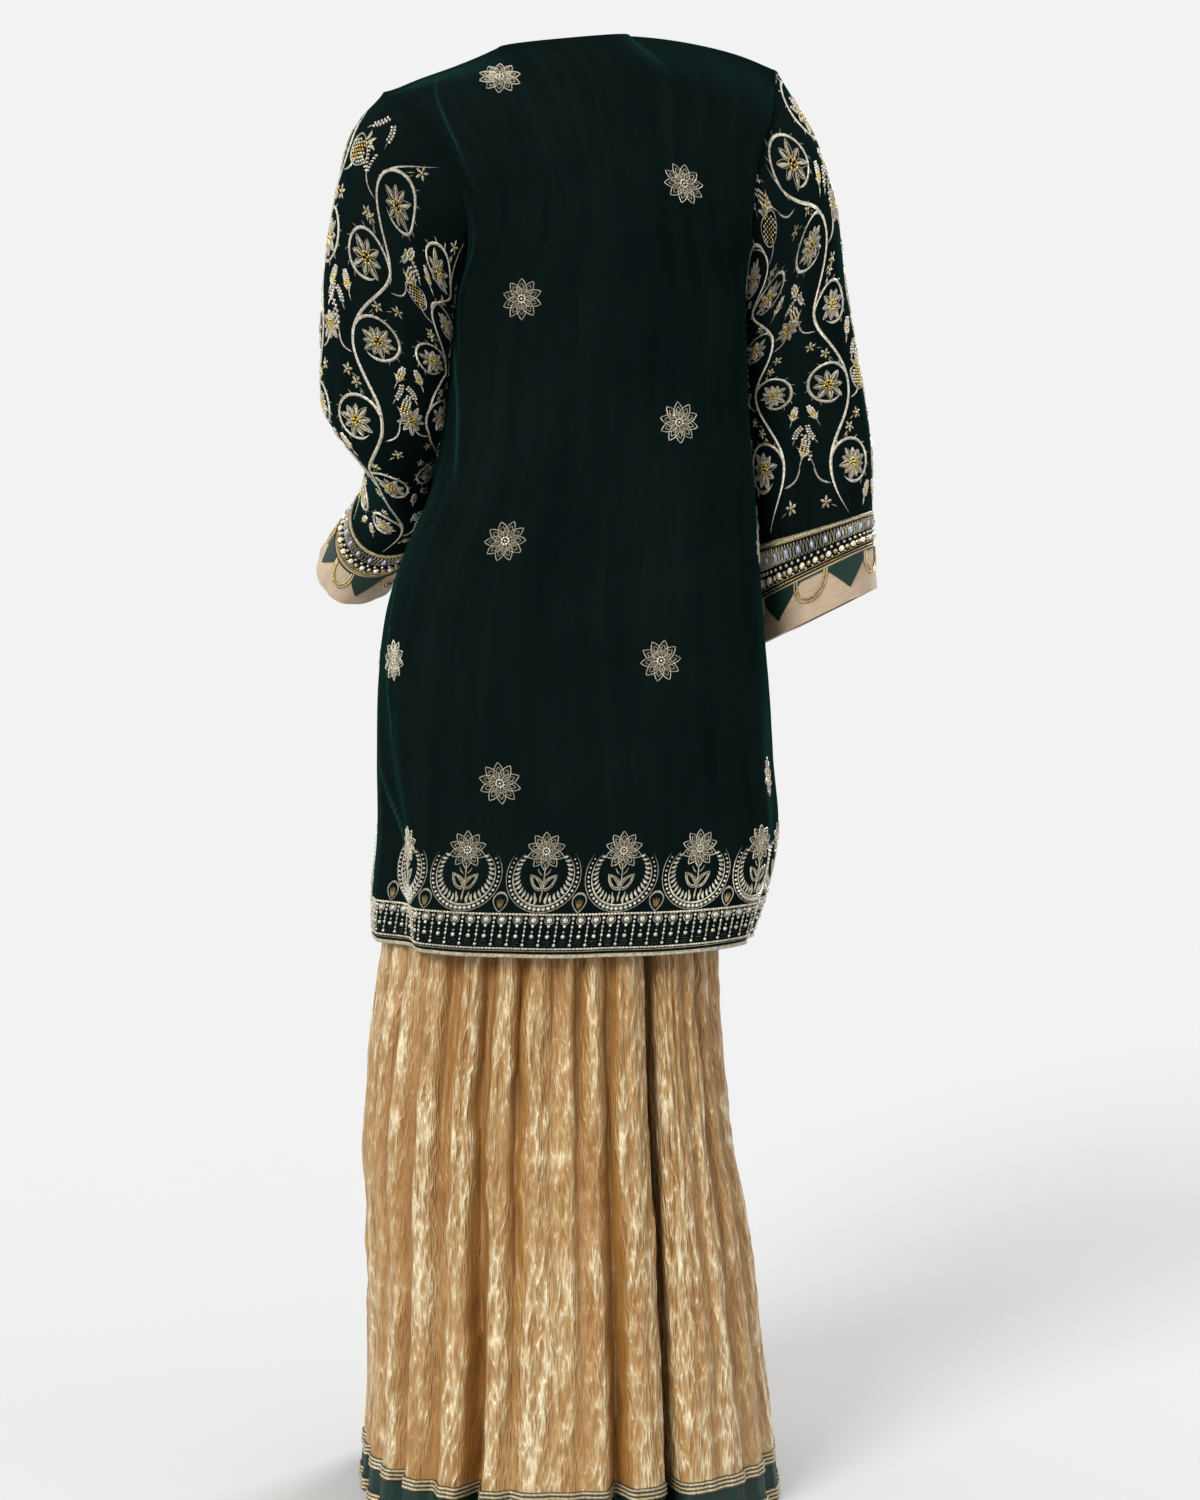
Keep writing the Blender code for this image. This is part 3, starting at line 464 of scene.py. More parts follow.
def run_of(path):
    """Metres from the start of a path to each of its places."""
    steps = np.linalg.norm(np.diff(path, axis=0), axis=1)
    return np.concatenate([[0.0], np.cumsum(steps)])


def along(points, shares):
    """Points at these shares, 0 to 1, of a polyline's length."""
    length = run_of(points)
    return np.stack([np.interp(shares, length / length[-1], axis) for axis in points.T], axis=1)


def swell(t):
    """1 in the middle of a fold, falling smoothly to 0 at its two edges, t = -1 and 1."""
    return 0.5 * (1 + np.cos(np.pi * np.clip(t, -1, 1)))


def ramp(t):
    """A smooth step from 0 to 1."""
    t = np.clip(t, 0, 1)
    return t * t * (3 - 2 * t)


def lattice(seed, x, y, period=64):
    """Smooth value noise: random numbers at whole places of x and y, eased from one to the next.

    It repeats in x after the period, so that a pattern closes around a tube."""
    table = np.random.default_rng(seed).random((period, 64))
    i, j = np.floor(x).astype(int), np.floor(y).astype(int)
    across, up = ramp(x - i), ramp(y - j)
    low = table[i % period, j % 64] * (1 - across) + table[(i + 1) % period, j % 64] * across
    high = table[i % period, (j + 1) % 64] * (1 - across) + table[(i + 1) % period, (j + 1) % 64] * across
    return low * (1 - up) + high * up


def creased(places, start, middle, end, wide, scale):
    """1 along a bowed line through three places and falling off as a bell on both sides of it."""
    t = np.linspace(0, 1, CREASE_STEPS + 1)[:, None]
    start, middle, end = (np.array(p) * scale for p in (start, middle, end))
    line = start * (1 - t) * (1 - 2 * t) + middle * 4 * t * (1 - t) + end * t * (2 * t - 1)
    spots = places * scale
    best = np.full(spots.shape[:-1], 1e9)
    share = np.zeros(spots.shape[:-1])
    for k in range(CREASE_STEPS):
        run = line[k + 1] - line[k]
        part = np.clip(((spots - line[k]) @ run) / (run @ run), 0, 1)
        gap = np.linalg.norm(spots - line[k] - part[..., None] * run, axis=-1)
        nearer = gap < best
        best[nearer], share[nearer] = gap[nearer], ((k + part) / CREASE_STEPS)[nearer]
    return np.exp(-((best / wide) ** 2)) * np.sin(np.pi * np.clip(share, 0.02, 0.98)) ** 0.5


def superellipse(t, square):
    """The two coordinates of a unit superellipse at these angles."""
    return (np.sign(wave) * np.abs(wave) ** (2 / square) for wave in (np.cos(t), np.sin(t)))


def level_row(level, panel, u):
    """One level of a kurta panel: half of a superellipse from the right edge to the left one."""
    back = panel == "back"
    depth, edge = (level.back, level.edge_b) if back else (level.front, level.edge_f)
    middle, half = (level.left + level.right) / 2, (level.left - level.right) / 2
    t = np.linspace(np.pi, 0, LEVEL_POINTS)
    across, out = superellipse(t, level.square)
    z_middle = level.z_back if back else level.z_front
    z = z_middle + (level.z_edge - z_middle) * across**2
    row = np.stack([middle + half * across, edge + (depth - edge) * out, z], axis=1)
    return along(row, (u + 1) / 2)


def top_row(panel, u):
    """The top edge of a panel: a shoulder seam, the neckline as half an ellipse, a shoulder seam."""
    right_tip, left_tip = (np.array(p) for p in SHOULDER_TIPS)
    right_neck, left_neck = (np.array(p) for p in NECK_POINTS)
    depth, drop = (NECK_BACK, NECK_BACK_DROP) if panel == "back" else (-NECK_FRONT, NECK_FRONT_DROP)
    t = np.linspace(np.pi, 0, NECKLINE_POINTS)
    share = ((1 - np.cos(np.pi - t)) / 2)[:, None]
    neckline = right_neck * (1 - share) + left_neck * share
    neckline[:, 1] += depth * np.sin(t)
    neckline[:, 2] -= drop * np.sin(t) ** NECK_ROUND
    row = np.zeros((len(u), 3))
    neck, right, left = np.abs(u) <= NECK_SHARE + 1e-9, u < -NECK_SHARE - 1e-9, u > NECK_SHARE + 1e-9
    row[neck] = along(neckline, (u[neck] / NECK_SHARE + 1) / 2)
    seam = ((-u[right] - NECK_SHARE) / (1 - NECK_SHARE))[:, None]
    row[right] = right_neck * (1 - seam) + right_tip * seam
    row[right, 2] += SHOULDER_BOWS[0] * (4 * seam * (1 - seam))[:, 0]
    seam = ((u[left] - NECK_SHARE) / (1 - NECK_SHARE))[:, None]
    row[left] = left_neck * (1 - seam) + left_tip * seam
    row[left, 2] += SHOULDER_BOWS[1] * (4 * seam * (1 - seam))[:, 0]
    row[:, 1] += SEAM if panel == "back" else -SEAM
    return row


def panel_heights():
    """How far up a panel each level lies, with the shoulders at 1."""
    z = np.array([(level.z_back + level.z_front + level.z_edge) / 3 for level in LEVELS] + [0.0])
    return (z - z[0]) / (z[-1] - z[0])


def kurta_surface(panel, u, v, creases=True):
    """A kurta panel's outer face: a smooth loft through its levels, with folds pressed in.

    Rows v go from the hem up and columns u from the wearer's right to the left. Creases are added
    outwards as bells along bowed lines, and a slow value noise ripples the cloth."""
    rows = np.stack([level_row(level, panel, u) for level in LEVELS] + [top_row(panel, u)])
    points = curve_through(panel_heights(), rows, v)
    hem = rows[:1, :, 2]
    outward = np.zeros_like(points)
    slope = np.gradient(points, u, axis=1)
    outward[..., 0], outward[..., 1] = -slope[..., 1], slope[..., 0]
    if panel == "front":
        outward = -outward
    outward /= np.linalg.norm(outward, axis=2, keepdims=True)
    sink = np.zeros(points.shape[:2])
    for fold in (f for f in KURTA_FOLDS if f.panel == panel):
        down = np.clip((fold.top - points[..., 2]) / (fold.top - hem), 0, 1)
        middle = fold.u_top + (fold.u_hem - fold.u_top) * down
        sink += fold.depth * ramp(down) * swell((u[None, :] - middle) / fold.wide)
    inside = ramp((1 - np.abs(u)) / FOLD_EDGE)[None, :]
    if creases:
        for high, bell in panel_creases(panel, u, points):
            sink -= high * bell
        waves = lattice(RIPPLE_SEEDS[panel], u[None, :] * RIPPLE_CELLS[0] + RIPPLE_START,
                        points[..., 2] * RIPPLE_CELLS[1] + RIPPLE_START)
        sink += RIPPLE_HIGH * (waves - 0.5) * ramp(-points[..., 2] / RIPPLE_FROM)
    seam_side = SEAM / 2 if panel == "back" else -SEAM / 2
    points = points - outward * (sink * inside)[..., None]
    points[..., 1] += seam_side
    return rounded(points) if creases else points


def panel_creases(panel, u, points, narrow=1.0):
    """The height of each crease of a panel, and its bell over the grid of points."""
    places = np.stack([np.broadcast_to(u, points.shape[:2]), points[..., 2]], axis=-1)
    for c in (c for c in KURTA_CREASES if c.panel == panel):
        yield c.high, creased(places, c.start, c.middle, c.end, c.wide * narrow, (METRES_PER_U, 1.0))


def rounded(points):
    """Points near a shoulder's corner drawn in by a bell about its tip."""
    for tip, side in zip(SHOULDER_TIPS, (-1, 1)):
        near = np.exp(-((points - np.array(tip)) ** 2).sum(axis=-1) / (2 * CORNER_REACH**2))
        points = points + near[..., None] * np.array([CORNER_IN[side][0], 0.0, CORNER_IN[side][1]])
    return points


def armhole_edges(side):
    """The armhole's two edges, from the armpit up the back and from the shoulder down the front."""
    v = np.linspace(0, 1, PANEL_ROWS + 1)
    armpit = panel_heights()[ARMPIT]
    v = np.concatenate([[armpit], v[v > armpit + 1e-9]])
    u = np.array([side * 0.999, side * 1.0])
    up, down = (kurta_surface(panel, u, v, False)[:, 1] for panel in ("back", "front"))
    return up, down[::-1]


def armhole(side, w):
    """The armhole's edge: from the armpit up the back to the shoulder and down the front."""
    up, down = armhole_edges(side)
    half = w <= 0.5
    loop = np.empty((len(w), 3))
    loop[half] = along(up, 2 * w[half])
    loop[~half] = along(down, 2 * w[~half] - 1)
    return loop


def ring_points(ring, side, w):
    """A sleeve ring: an ellipse from the side next to the body, by the back, to the outer side."""
    lean = np.array([np.cos(ring.tilt), 0.0, -np.sin(ring.tilt)])
    depth = np.array([0.0, np.cos(ring.turn), -np.sin(ring.turn)])
    angle = 2 * np.pi * w[:, None]
    middle = np.array([ring.x, ring.y, ring.z])
    return middle - side * lean * ring.wide * np.cos(angle) + depth * ring.deep * np.sin(angle)


def sleeve_surface(side, w, v, creases=True):
    """A sleeve's outer face: a smooth loft from the armhole's edge through tilted ellipses.

    Rows v go from the armhole to the end and columns w around it. Creases are added outwards."""
    rings = SLEEVE_LEFT if side > 0 else SLEEVE_RIGHT
    loop = armhole(side, w)
    loop[:, 0] += side * ARMHOLE_SEAM
    rows = np.stack([loop] + [ring_points(ring, side, w) for ring in rings])
    middles = rows.mean(axis=1)
    steps = np.linalg.norm(np.diff(middles, axis=0), axis=1)
    knots = np.concatenate([[0.0], np.cumsum(steps)]) / steps.sum()
    points = curve_through(knots, rows, v)
    if creases and len(v) > 2:
        raised = np.zeros(points.shape[:2])
        for start, middle, end, wide, high in SLEEVE_CREASES[side]:
            for lap in (0, -1):
                places = np.stack(np.broadcast_arrays(w[None, :] - lap, v[:, None]), axis=-1)
                bell = creased(places, start, middle, end, wide, (METRES_PER_W, METRES_PER_V))
                raised += high * bell
        raised *= (ramp(v / CREASE_ENDS[0]) * ramp((1 - v) / CREASE_ENDS[1]))[:, None]
        points = points + normals(points, side, ring=True) * raised[..., None]
        inner = swell(np.minimum(w, 1 - w) / NESTLE_WIDE)[None, :]
        nearer = NESTLE[side] * np.interp(points[..., 2], NESTLE_LEVELS, NESTLE_SHARES)
        points[..., 0] -= side * inner * nearer
        points = rounded(points)
    return points


def cuff_surface(side, w, drops):
    """The sleeve carried on past its end: rows at these distances, with the last ring's direction."""
    last = sleeve_surface(side, w, np.array(LAST_ROWS))
    way = (last[1] - last[0]).mean(axis=0)
    way /= np.linalg.norm(way)
    middle = last[1].mean(axis=0)
    drops = np.asarray(drops, float)[:, None, None]
    return middle + (last[1] - middle)[None] * (1 + CUFF_FLARE * drops) + way * drops


def outline_at(z):
    """The trousers' outline at the heights z, as an Outline of arrays."""
    table = np.array(OUTLINES)[::-1]
    return Outline(*curve_through(table[:, 0], table, z).T)


def bare_loop(side, level, q):
    """Places q on one leg's loop at one level of the outline, and the way out at each, in x and y.

    The loop is the part of a superellipse beyond a straight parting, rounded at both corners by
    averaging along its length. q runs from 0 at the parting behind, by the outer side, to 1 at the
    parting in front, and on by the inner side to 2, back at the start."""
    middle, half = (level.left + level.right) / 2, (level.left - level.right) / 2

    def angle(x):
        flat = (x + side * level.gap - middle) / half
        return np.arccos(np.sign(flat) * np.abs(flat) ** (SQUARE_LEGS / 2))

    start, end = angle(level.part_b), -angle(level.part_f)
    if side < 0:
        end += 2 * np.pi
    t = np.linspace(start, end, OUTER_POINTS)
    depth = np.where(np.sin(t) > 0, level.back, -level.front)
    across, out = superellipse(t, SQUARE_LEGS)
    outer = np.stack([middle + half * across, depth * out], axis=1)
    outer_length = np.linalg.norm(np.diff(outer, axis=0), axis=1).sum()
    inner_length = np.linalg.norm(outer[-1] - outer[0])
    total = outer_length + inner_length

    share = np.linspace(0, 1, LOOP_POINTS, endpoint=False)
    loop = along(np.concatenate([outer, outer[:1]]), share)
    softness = level.round_l if side > 0 else level.round_r
    weights = np.exp(-0.5 * (np.minimum(share, 1 - share) * total / softness) ** 2)
    kernel = np.fft.fft(weights / weights.sum())
    loop = np.stack([np.fft.ifft(np.fft.fft(axis) * kernel).real for axis in loop.T], axis=1)
    closed, spots = np.concatenate([loop, loop[:1]]), np.append(share, 1.0)

    def at(place):
        return np.stack([np.interp(np.mod(place, 1), spots, axis) for axis in closed.T], axis=1)

    turn = np.mod(q, 2)
    place = np.where(turn < 1, turn * outer_length, outer_length + (turn - 1) * inner_length) / total
    slope = at(place + SLOPE_STEP) - at(place - SLOPE_STEP)
    out = np.stack([slope[:, 1], -slope[:, 0]], axis=1) * -side
    return at(place), out / np.linalg.norm(out, axis=1, keepdims=True)


def leg_loops(side, z, q):
    """One leg's loops at the heights z, and how far in the gathers are pressed at each place."""
    gathers = GATHERS_LEFT if side > 0 else GATHERS_RIGHT
    turn = np.mod(q, 2)
    loops, sinks = np.empty((len(z), len(q), 3)), np.empty((len(z), len(q)))
    pleats = pleat_depths(side, turn)
    for k, level in enumerate(Outline(*row) for row in zip(*outline_at(z))):
        points, out = bare_loop(side, level, q)
        sink = np.zeros(len(q))
        for g in gathers:
            depths = (g.hem, g.half, g.knee, g.knee * HIP_DEPTH, g.knee * WAIST_DEPTH)
            sink += np.interp(z[k], GATHER_DEPTH_LEVELS, depths) * swell((turn - g.at) / g.wide)
        sink += pleats * np.interp(z[k], PLEAT_LEVELS, PLEAT_SHARES)
        loops[k, :, :2] = points - out * sink[:, None]
        loops[k, :, 2] = z[k]
        sinks[k] = sink
    return loops, sinks


def pleat_depths(side, turn):
    """Small pleats all round a leg: narrow valleys with uneven spaces, each of its own depth."""
    random = np.random.default_rng(PLEAT_SEEDS[side])
    shifts, depths, widths = (random.uniform(*ends, PLEATS_AROUND) for ends in PLEAT_SPREADS)
    places = (np.arange(PLEATS_AROUND) + shifts) / PLEATS_AROUND
    depths, widths = PLEAT_DEEP * depths, widths / PLEATS_AROUND
    sink = np.zeros(len(turn))
    for place, depth, wide in zip(places, depths, widths):
        sink = np.maximum(sink, depth * swell((turn - place) / wide))
    return sink


def kurta_reach(theta, z):
    """How far the kurta's outer face is from the axis, in the directions theta at the heights z."""
    u = np.linspace(-1, 1, REACH_COLUMNS)
    v = np.linspace(0, 1, REACH_ROWS)
    angles, radii, heights = [], [], []
    for panel, columns in (("back", slice(None, None, -1)), ("front", slice(None))):
        points = kurta_surface(panel, u, v, False)[:, columns]
        angles.append(np.arctan2(points[..., 1], points[..., 0]))
        radii.append(np.hypot(points[..., 0], points[..., 1]))
        heights.append(points[..., 2])
    angles, radii, heights = (np.concatenate(x, axis=1) for x in (angles, radii, heights))
    reach = np.empty(theta.shape)
    for k in range(len(z)):
        columns = range(angles.shape[1])
        at_angle = np.array([np.interp(z[k], heights[:, j], angles[:, j]) for j in columns])
        at_radius = np.array([np.interp(z[k], heights[:, j], radii[:, j]) for j in columns])
        reach[k] = np.interp(theta[k], at_angle, at_radius, period=2 * np.pi)
    return reach


def pressed_under(points):
    """Rows of points at one height each, pressed in where the kurta lies over them."""
    theta = np.arctan2(points[..., 1], points[..., 0])
    radius = np.hypot(points[..., 0], points[..., 1])
    reach = kurta_reach(theta, points[:, 0, 2]) - UNDER
    under = (points[:, 0, 2] > LEVELS[0].z_back - PRESSED_BELOW)[:, None]
    kept = np.where(under & (radius > reach), reach, radius)
    pressed = points.copy()
    pressed[..., :2] *= (kept / radius)[..., None]
    return pressed


def crumpled(side, z, turn):
    """The tissue's crinkle: ridged value noise in three sizes, long up and down, on a bent lattice."""
    drop = -z[:, None]
    around = turn[None, :] / 2
    height = np.zeros((len(z), len(turn)))
    for n, layer in enumerate(CRUMPLES):
        seed = 100 * n + CRUMPLE_SEEDS[side]
        bend = sum(lattice(seed + k, around * wide, drop * tall, wide) for k, wide, tall in CRUMPLE_BENDS)
        x = around * layer.around + (bend - 1) * BENT
        y = drop * layer.down + layer.slant * np.sin(2 * np.pi * around * SLANTS) + bend
        noise = lattice(seed, x, y, layer.around)
        height += layer.high * (1 - 2 * np.abs(2 * noise - 1))
    return height * np.interp(z, CRUMPLE_LEVELS, CRUMPLE_SHARES)[:, None]


def leg_surface(side, z, q, crinkle=True):
    """A leg's outer face, and how deep each place lies in its folds, from 0 on a crest to 1."""
    loops, sinks = leg_loops(side, z, q)
    points = pressed_under(loops)
    height = np.zeros_like(sinks)
    if crinkle:
        height = crumpled(side, z, np.mod(q, 2))
        points = points + normals(points, side, ring=True) * height[..., None]
    # The fold depth returned here darkens the tissue's colour as painted shade and leaves its crests as
    # painted highlight.
    return points, np.clip((sinks - height * CRINKLE_SHOWS) / DEEPEST, 0, 1)


def normals(points, sign, ring=False):
    """Unit normals of a grid of points; sign turns them outwards."""
    if ring:
        wrapped = np.concatenate([points[:, -1:], points, points[:, :1]], axis=1)
        across = wrapped[:, 2:] - wrapped[:, :-2]
    else:
        across = np.gradient(points, axis=1)
    normal = sign * np.cross(across, np.gradient(points, axis=0))
    return normal / np.linalg.norm(normal, axis=2, keepdims=True)


def square_to_seam(normal, where, axis):
    """Normals turned to run along a seam, so that the two walls that meet there stay apart."""
    turned = normal.copy()
    turned[..., axis][where] = 0
    return turned / np.linalg.norm(turned, axis=2, keepdims=True)


# ---------------------------------------------------------------- meshes


def finished(name, points, faces, corner_uv, finishes, picks=None, sharp=1.1, painted_shading=None):
    """A smooth-shaded object of these faces, with a UV map in metres and its materials."""
    mesh = bpy.data.meshes.new(name)
    mesh.from_pydata(points.tolist(), [], faces)
    layer = mesh.uv_layers.new(name="cloth")
    layer.data.foreach_set("uv", np.ascontiguousarray(corner_uv, np.float32).ravel())
    for finish in finishes:
        mesh.materials.append(finish)
    if picks is not None:
        mesh.polygons.foreach_set("material_index", np.asarray(picks, np.int32))
    if painted_shading is not None:
        # The depth attribute carries painted light and shade: fold depth for the tissue's painted valley
        # shade and crest highlight, and crease lines for the velvet's painted teal sheen.
        depth = mesh.attributes.new("depth", "FLOAT", "POINT")
        depth.data.foreach_set("value", np.asarray(painted_shading, np.float32))
    mesh.polygons.foreach_set("use_smooth", np.ones(len(mesh.polygons), bool))
    mesh.set_sharp_from_angle(angle=sharp)
    mesh.update()
    made = bpy.data.objects.new(name, mesh)
    bpy.context.scene.collection.objects.link(made)
    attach(made, "root")
    return made


def spans(points, ring):
    """Metres along the rows and up the columns of a grid; a ring gets one more column."""
    looped = np.concatenate([points, points[:, :1]], axis=1) if ring else points
    steps = np.linalg.norm(np.diff(looped, axis=1), axis=2)
    row = np.concatenate([[0.0], np.cumsum(steps.mean(axis=0))])
    rises = np.linalg.norm(np.diff(points, axis=0), axis=2).mean(axis=1)
    column = np.concatenate([[0.0], np.cumsum(rises)])
    return np.stack(np.broadcast_arrays(row[None, :], column[:, None]), axis=-1)


def cloth(name, outer, inner, sign, finish, ring=False, left_out=None, painted_shading=None, sharp=1.1):
    """A closed wall of cloth between two grids of points. left_out marks the cells that aren't there.

    Its faces are the outer cells, the same cells turned round inside, and a rim along every edge
    that has a cell on one side only."""
    rows, columns = outer.shape[:2]
    count = rows * columns
    uv = spans(outer, ring)
    i, j = np.meshgrid(np.arange(rows - 1), np.arange(columns if ring else columns - 1), indexing="ij")
    here, beside = i * columns + j, i * columns + (j + 1) % columns
    cells = np.stack([here, beside, beside + columns, here + columns], axis=-1)
    corners = np.stack([uv[i, j], uv[i, j + 1], uv[i + 1, j + 1], uv[i + 1, j]], axis=-2)
    kept = np.ones(i.shape, bool) if left_out is None else ~left_out[:, : i.shape[1]]
    cells, corners = cells[kept], corners[kept]
    pairs = np.concatenate([cells[:, [n, (n + 1) % 4]] for n in range(4)])
    pair_uv = np.concatenate([corners[:, [n, (n + 1) % 4]] for n in range(4)])
    alone = ~np.isin(pairs[:, 1] * count + pairs[:, 0], pairs[:, 0] * count + pairs[:, 1])
    rim, rim_uv = pairs[alone], pair_uv[alone]
    walls = np.stack([rim[:, 1], rim[:, 0], rim[:, 0] + count, rim[:, 1] + count], axis=1)
    faces = np.concatenate([cells, cells[:, ::-1] + count, walls])
    corner_uv = np.concatenate([corners, corners[:, ::-1], rim_uv[:, [1, 0, 0, 1]]])
    if sign < 0:
        faces, corner_uv = faces[:, ::-1], corner_uv[:, ::-1]
    used, place = np.unique(faces, return_inverse=True)
    points = np.concatenate([outer.reshape(-1, 3), inner.reshape(-1, 3)])[used]
    if painted_shading is not None:
        painted_shading = np.concatenate([painted_shading.ravel(), painted_shading.ravel()])[used]
    faces = place.reshape(faces.shape).tolist()
    return finished(name, points, faces, corner_uv, [finish], None, sharp, painted_shading)


# ---------------------------------------------------------------- materials


class Finish:
    """A Principled material, and the nodes that colour it."""

    def __init__(self, name, colour, roughness, **sockets):
        made = bpy.data.materials.new(name)
        made.use_nodes = True
        self.tree = made.node_tree
        self.shader = self.tree.nodes["Principled BSDF"]
        self.shader.inputs["Base Color"].default_value = (*colour, 1.0)
        self.shader.inputs["Roughness"].default_value = roughness
        for socket, value in sockets.items():
            self.shader.inputs[socket.replace("_", " ")].default_value = value
        Materials[name] = made

    def node(self, kind, *sources, out="Fac", **values):
        """An output of a new node. Sources feed its first inputs; values fill others or are settings."""
        made = self.tree.nodes.new("ShaderNode" + kind)
        for key, value in values.items():
            if key in made.inputs:
                made.inputs[key].default_value = value
            else:
                setattr(made, key, value)
        for socket, source in zip(made.inputs, sources):
            if isinstance(source, (int, float)):
                socket.default_value = source
            else:
                self.tree.links.new(source, socket)
        return made.outputs[out]

    def uv(self):
        """The cloth's own coordinates, in metres."""
        return self.node("UVMap", out="UV", uv_map="cloth")

    def noise(self, place, scale, detail, **values):
        """Noise over a place, scaled evenly or by two factors."""
        if isinstance(scale, tuple):
            place, scale = self.node("Mapping", place, out="Vector", Scale=(*scale, 1.0)), 1.0
        return self.node("TexNoise", place, Scale=scale, Detail=detail, **values)

    def math(self, operation, a, b):
        """The outcome of one operation on two values or outputs."""
        return self.node("Math", a, b, out="Value", operation=operation)

    def weighted(self, a, share, b, other):
        """a times its share plus b times the other."""
        return self.math("ADD", self.math("MULTIPLY", a, share), self.math("MULTIPLY", b, other))

    def colour(self, factor, *stops):
        """The base colour, off a ramp of places and colours."""
        made = self.tree.nodes.new("ShaderNodeValToRGB")
        elements = made.color_ramp.elements
        while len(elements) < len(stops):
            elements.new(0.5)
        for element, (place, colour) in zip(elements, stops):
            element.position, element.color = place, (*colour, 1.0)
        self.tree.links.new(factor, made.inputs["Fac"])
        self.tree.links.new(made.outputs["Color"], self.shader.inputs["Base Color"])

    def bump(self, height, distance, strength):
        """Raises the surface's look by a height, over a distance in metres."""
        made = self.tree.nodes.new("ShaderNodeBump")
        made.inputs["Strength"].default_value, made.inputs["Distance"].default_value = strength, distance
        self.tree.links.new(height, made.inputs["Height"])
        self.tree.links.new(made.outputs["Normal"], self.shader.inputs["Normal"])


def tinted(colour, *factors):
    """A colour with each channel times its own factor, or all times one."""
    return [min(1.0, c * k) for c, k in zip(colour, factors if len(factors) > 1 else factors * 3)]


def velvet_material(settings):
    """Cut pile: nearly black green, streaked by its nap, with painted teal sheen along its pressed creases.
    """
    base = settings.velvet[:]
    made = Finish("bottle green velvet", base, 0.80, Sheen_Weight=0.05, Sheen_Roughness=0.35,
                  Sheen_Tint=(0.10, 0.62, 0.50, 1.0), Specular_IOR_Level=0.0)
    uv = made.uv()
    nap = made.weighted(made.noise(uv, (55.0, 4.0), 4.0, Roughness=0.6), 0.55, made.noise(uv, 9.0, 3.0), 0.45)
    # Here depth carries the creases' narrowed bells. The ramp's top stop paints teal sheen along the creases.
    shade = made.weighted(nap, 0.6, made.node("Attribute", attribute_name="depth"), 0.6)
    made.colour(shade, (0.216, tinted(base, 0.80)), (0.384, tinted(base, 1.25)), (0.46, tinted(base, 1.25)),
                (0.92, tinted(base, *PAINTED_SHEEN_TINT)))
    made.bump(made.noise(uv, 1100.0, 2.0), 0.0004, 0.35)


def tissue_material(settings):
    """Crushed metal tissue: crinkled crests with painted silvery highlights between smooth amber valleys
    darkened brown by painted shade.
    """
    base = settings.tissue[:]
    made = Finish("gold tissue", base, 0.40, Metallic=0.10, Specular_IOR_Level=0.7)
    uv = made.uv()
    high = 0.0
    for size, turn, seed, share in TISSUE_CREASES:
        place = made.node("Mapping", uv, out="Vector", vector_type="TEXTURE", Scale=(*size, 1.0),
                          Rotation=(0.0, 0.0, turn), Location=(seed, seed, 0.0))
        ridge = made.node("TexNoise", place, noise_type="RIDGED_MULTIFRACTAL", Scale=1.0, Detail=1.5,
                          Roughness=0.5, Distortion=0.3, Offset=1.0, Gain=1.0)
        high = made.math("ADD", high, made.math("MULTIPLY", ridge, share))
    high = made.math("SUBTRACT", made.math("MULTIPLY", high, 1.8), 1.45)
    depth = made.node("Attribute", attribute_name="depth")
    # Painted highlight: crest is high on long noise columns and on the shallow parts of the folds, and low in
    # their depths.
    crest = made.weighted(made.noise(uv, (24.0, 3.5), 2.0), 1.5, depth, -1.1)
    crest = made.math("MINIMUM", made.math("MAXIMUM", crest, 0.0), 1.0)
    # The crinkle's ridges brighten the colour as painted glints, mostly on the crests. They also raise the
    # bump.
    crinkle = made.math("MULTIPLY", high, made.math("ADD", made.math("MULTIPLY", crest, 0.50), 0.12))
    # The tone paints shade and light: darker and browner in deep valleys, silvery on the crests.
    tone = made.math("ADD", made.math("ADD", crinkle, 0.28), made.weighted(crest, 0.26, depth, -0.16))
    made.colour(tone, *((place, tinted(base, *tint)) for place, tint in TISSUE_SHADE_AND_HIGHLIGHT_TINTS))
    made.bump(crinkle, 0.0035, 0.9)


def silk_material(name, colour, roughness, sheen):
    """Raw silk: threads across and down, with uneven thicker threads across."""
    made = Finish(name, colour, roughness, Sheen_Weight=sheen, Specular_IOR_Level=0.25,
                  Sheen_Tint=(*[min(1, c + 0.4) for c in colour], 1.0))
    uv = made.uv()
    slubs = made.noise(uv, (40.0, 900.0), 4.0, Roughness=0.7)
    shade = made.weighted(slubs, 0.6, made.noise(uv, 26.0, 3.0), 0.4)
    made.colour(shade, (0.34, tinted(colour, 0.72)), (0.66, tinted(colour, 1.28)))
    made.bump(slubs, 0.0004, 0.6)


def metal_material(name, colour, roughness, metallic, pitch, coat=0.0, ribs=0):
    """Metal thread or beads: a twist of this many turns a metre along it, and uneven shine.

    A braid has ribs across its height, with dark lines between them."""
    made = Finish(name, colour, roughness, Metallic=metallic, Coat_Weight=coat, Specular_IOR_Level=0.6)
    uv = made.uv()
    shine, dark = made.noise(made.node("TexCoord", out="Object"), 420.0, 2.0), 0.55
    if ribs:
        rib = made.node("TexWave", uv, Scale=ribs * np.pi / 10, bands_direction="Y")
        shine, dark = made.weighted(shine, 0.40, rib, 0.46), 0.12
    made.colour(shine, (0.32, tinted(colour, dark)), (0.68, tinted(colour, 1.35)))
    if pitch:
        place = made.node("Mapping", uv, out="Vector", Scale=(pitch, pitch, 1.0))
        twist = made.node("TexWave", place, Scale=1.0, Distortion=0.6, bands_direction="DIAGONAL")
        made.bump(twist, 0.0005, 0.8)


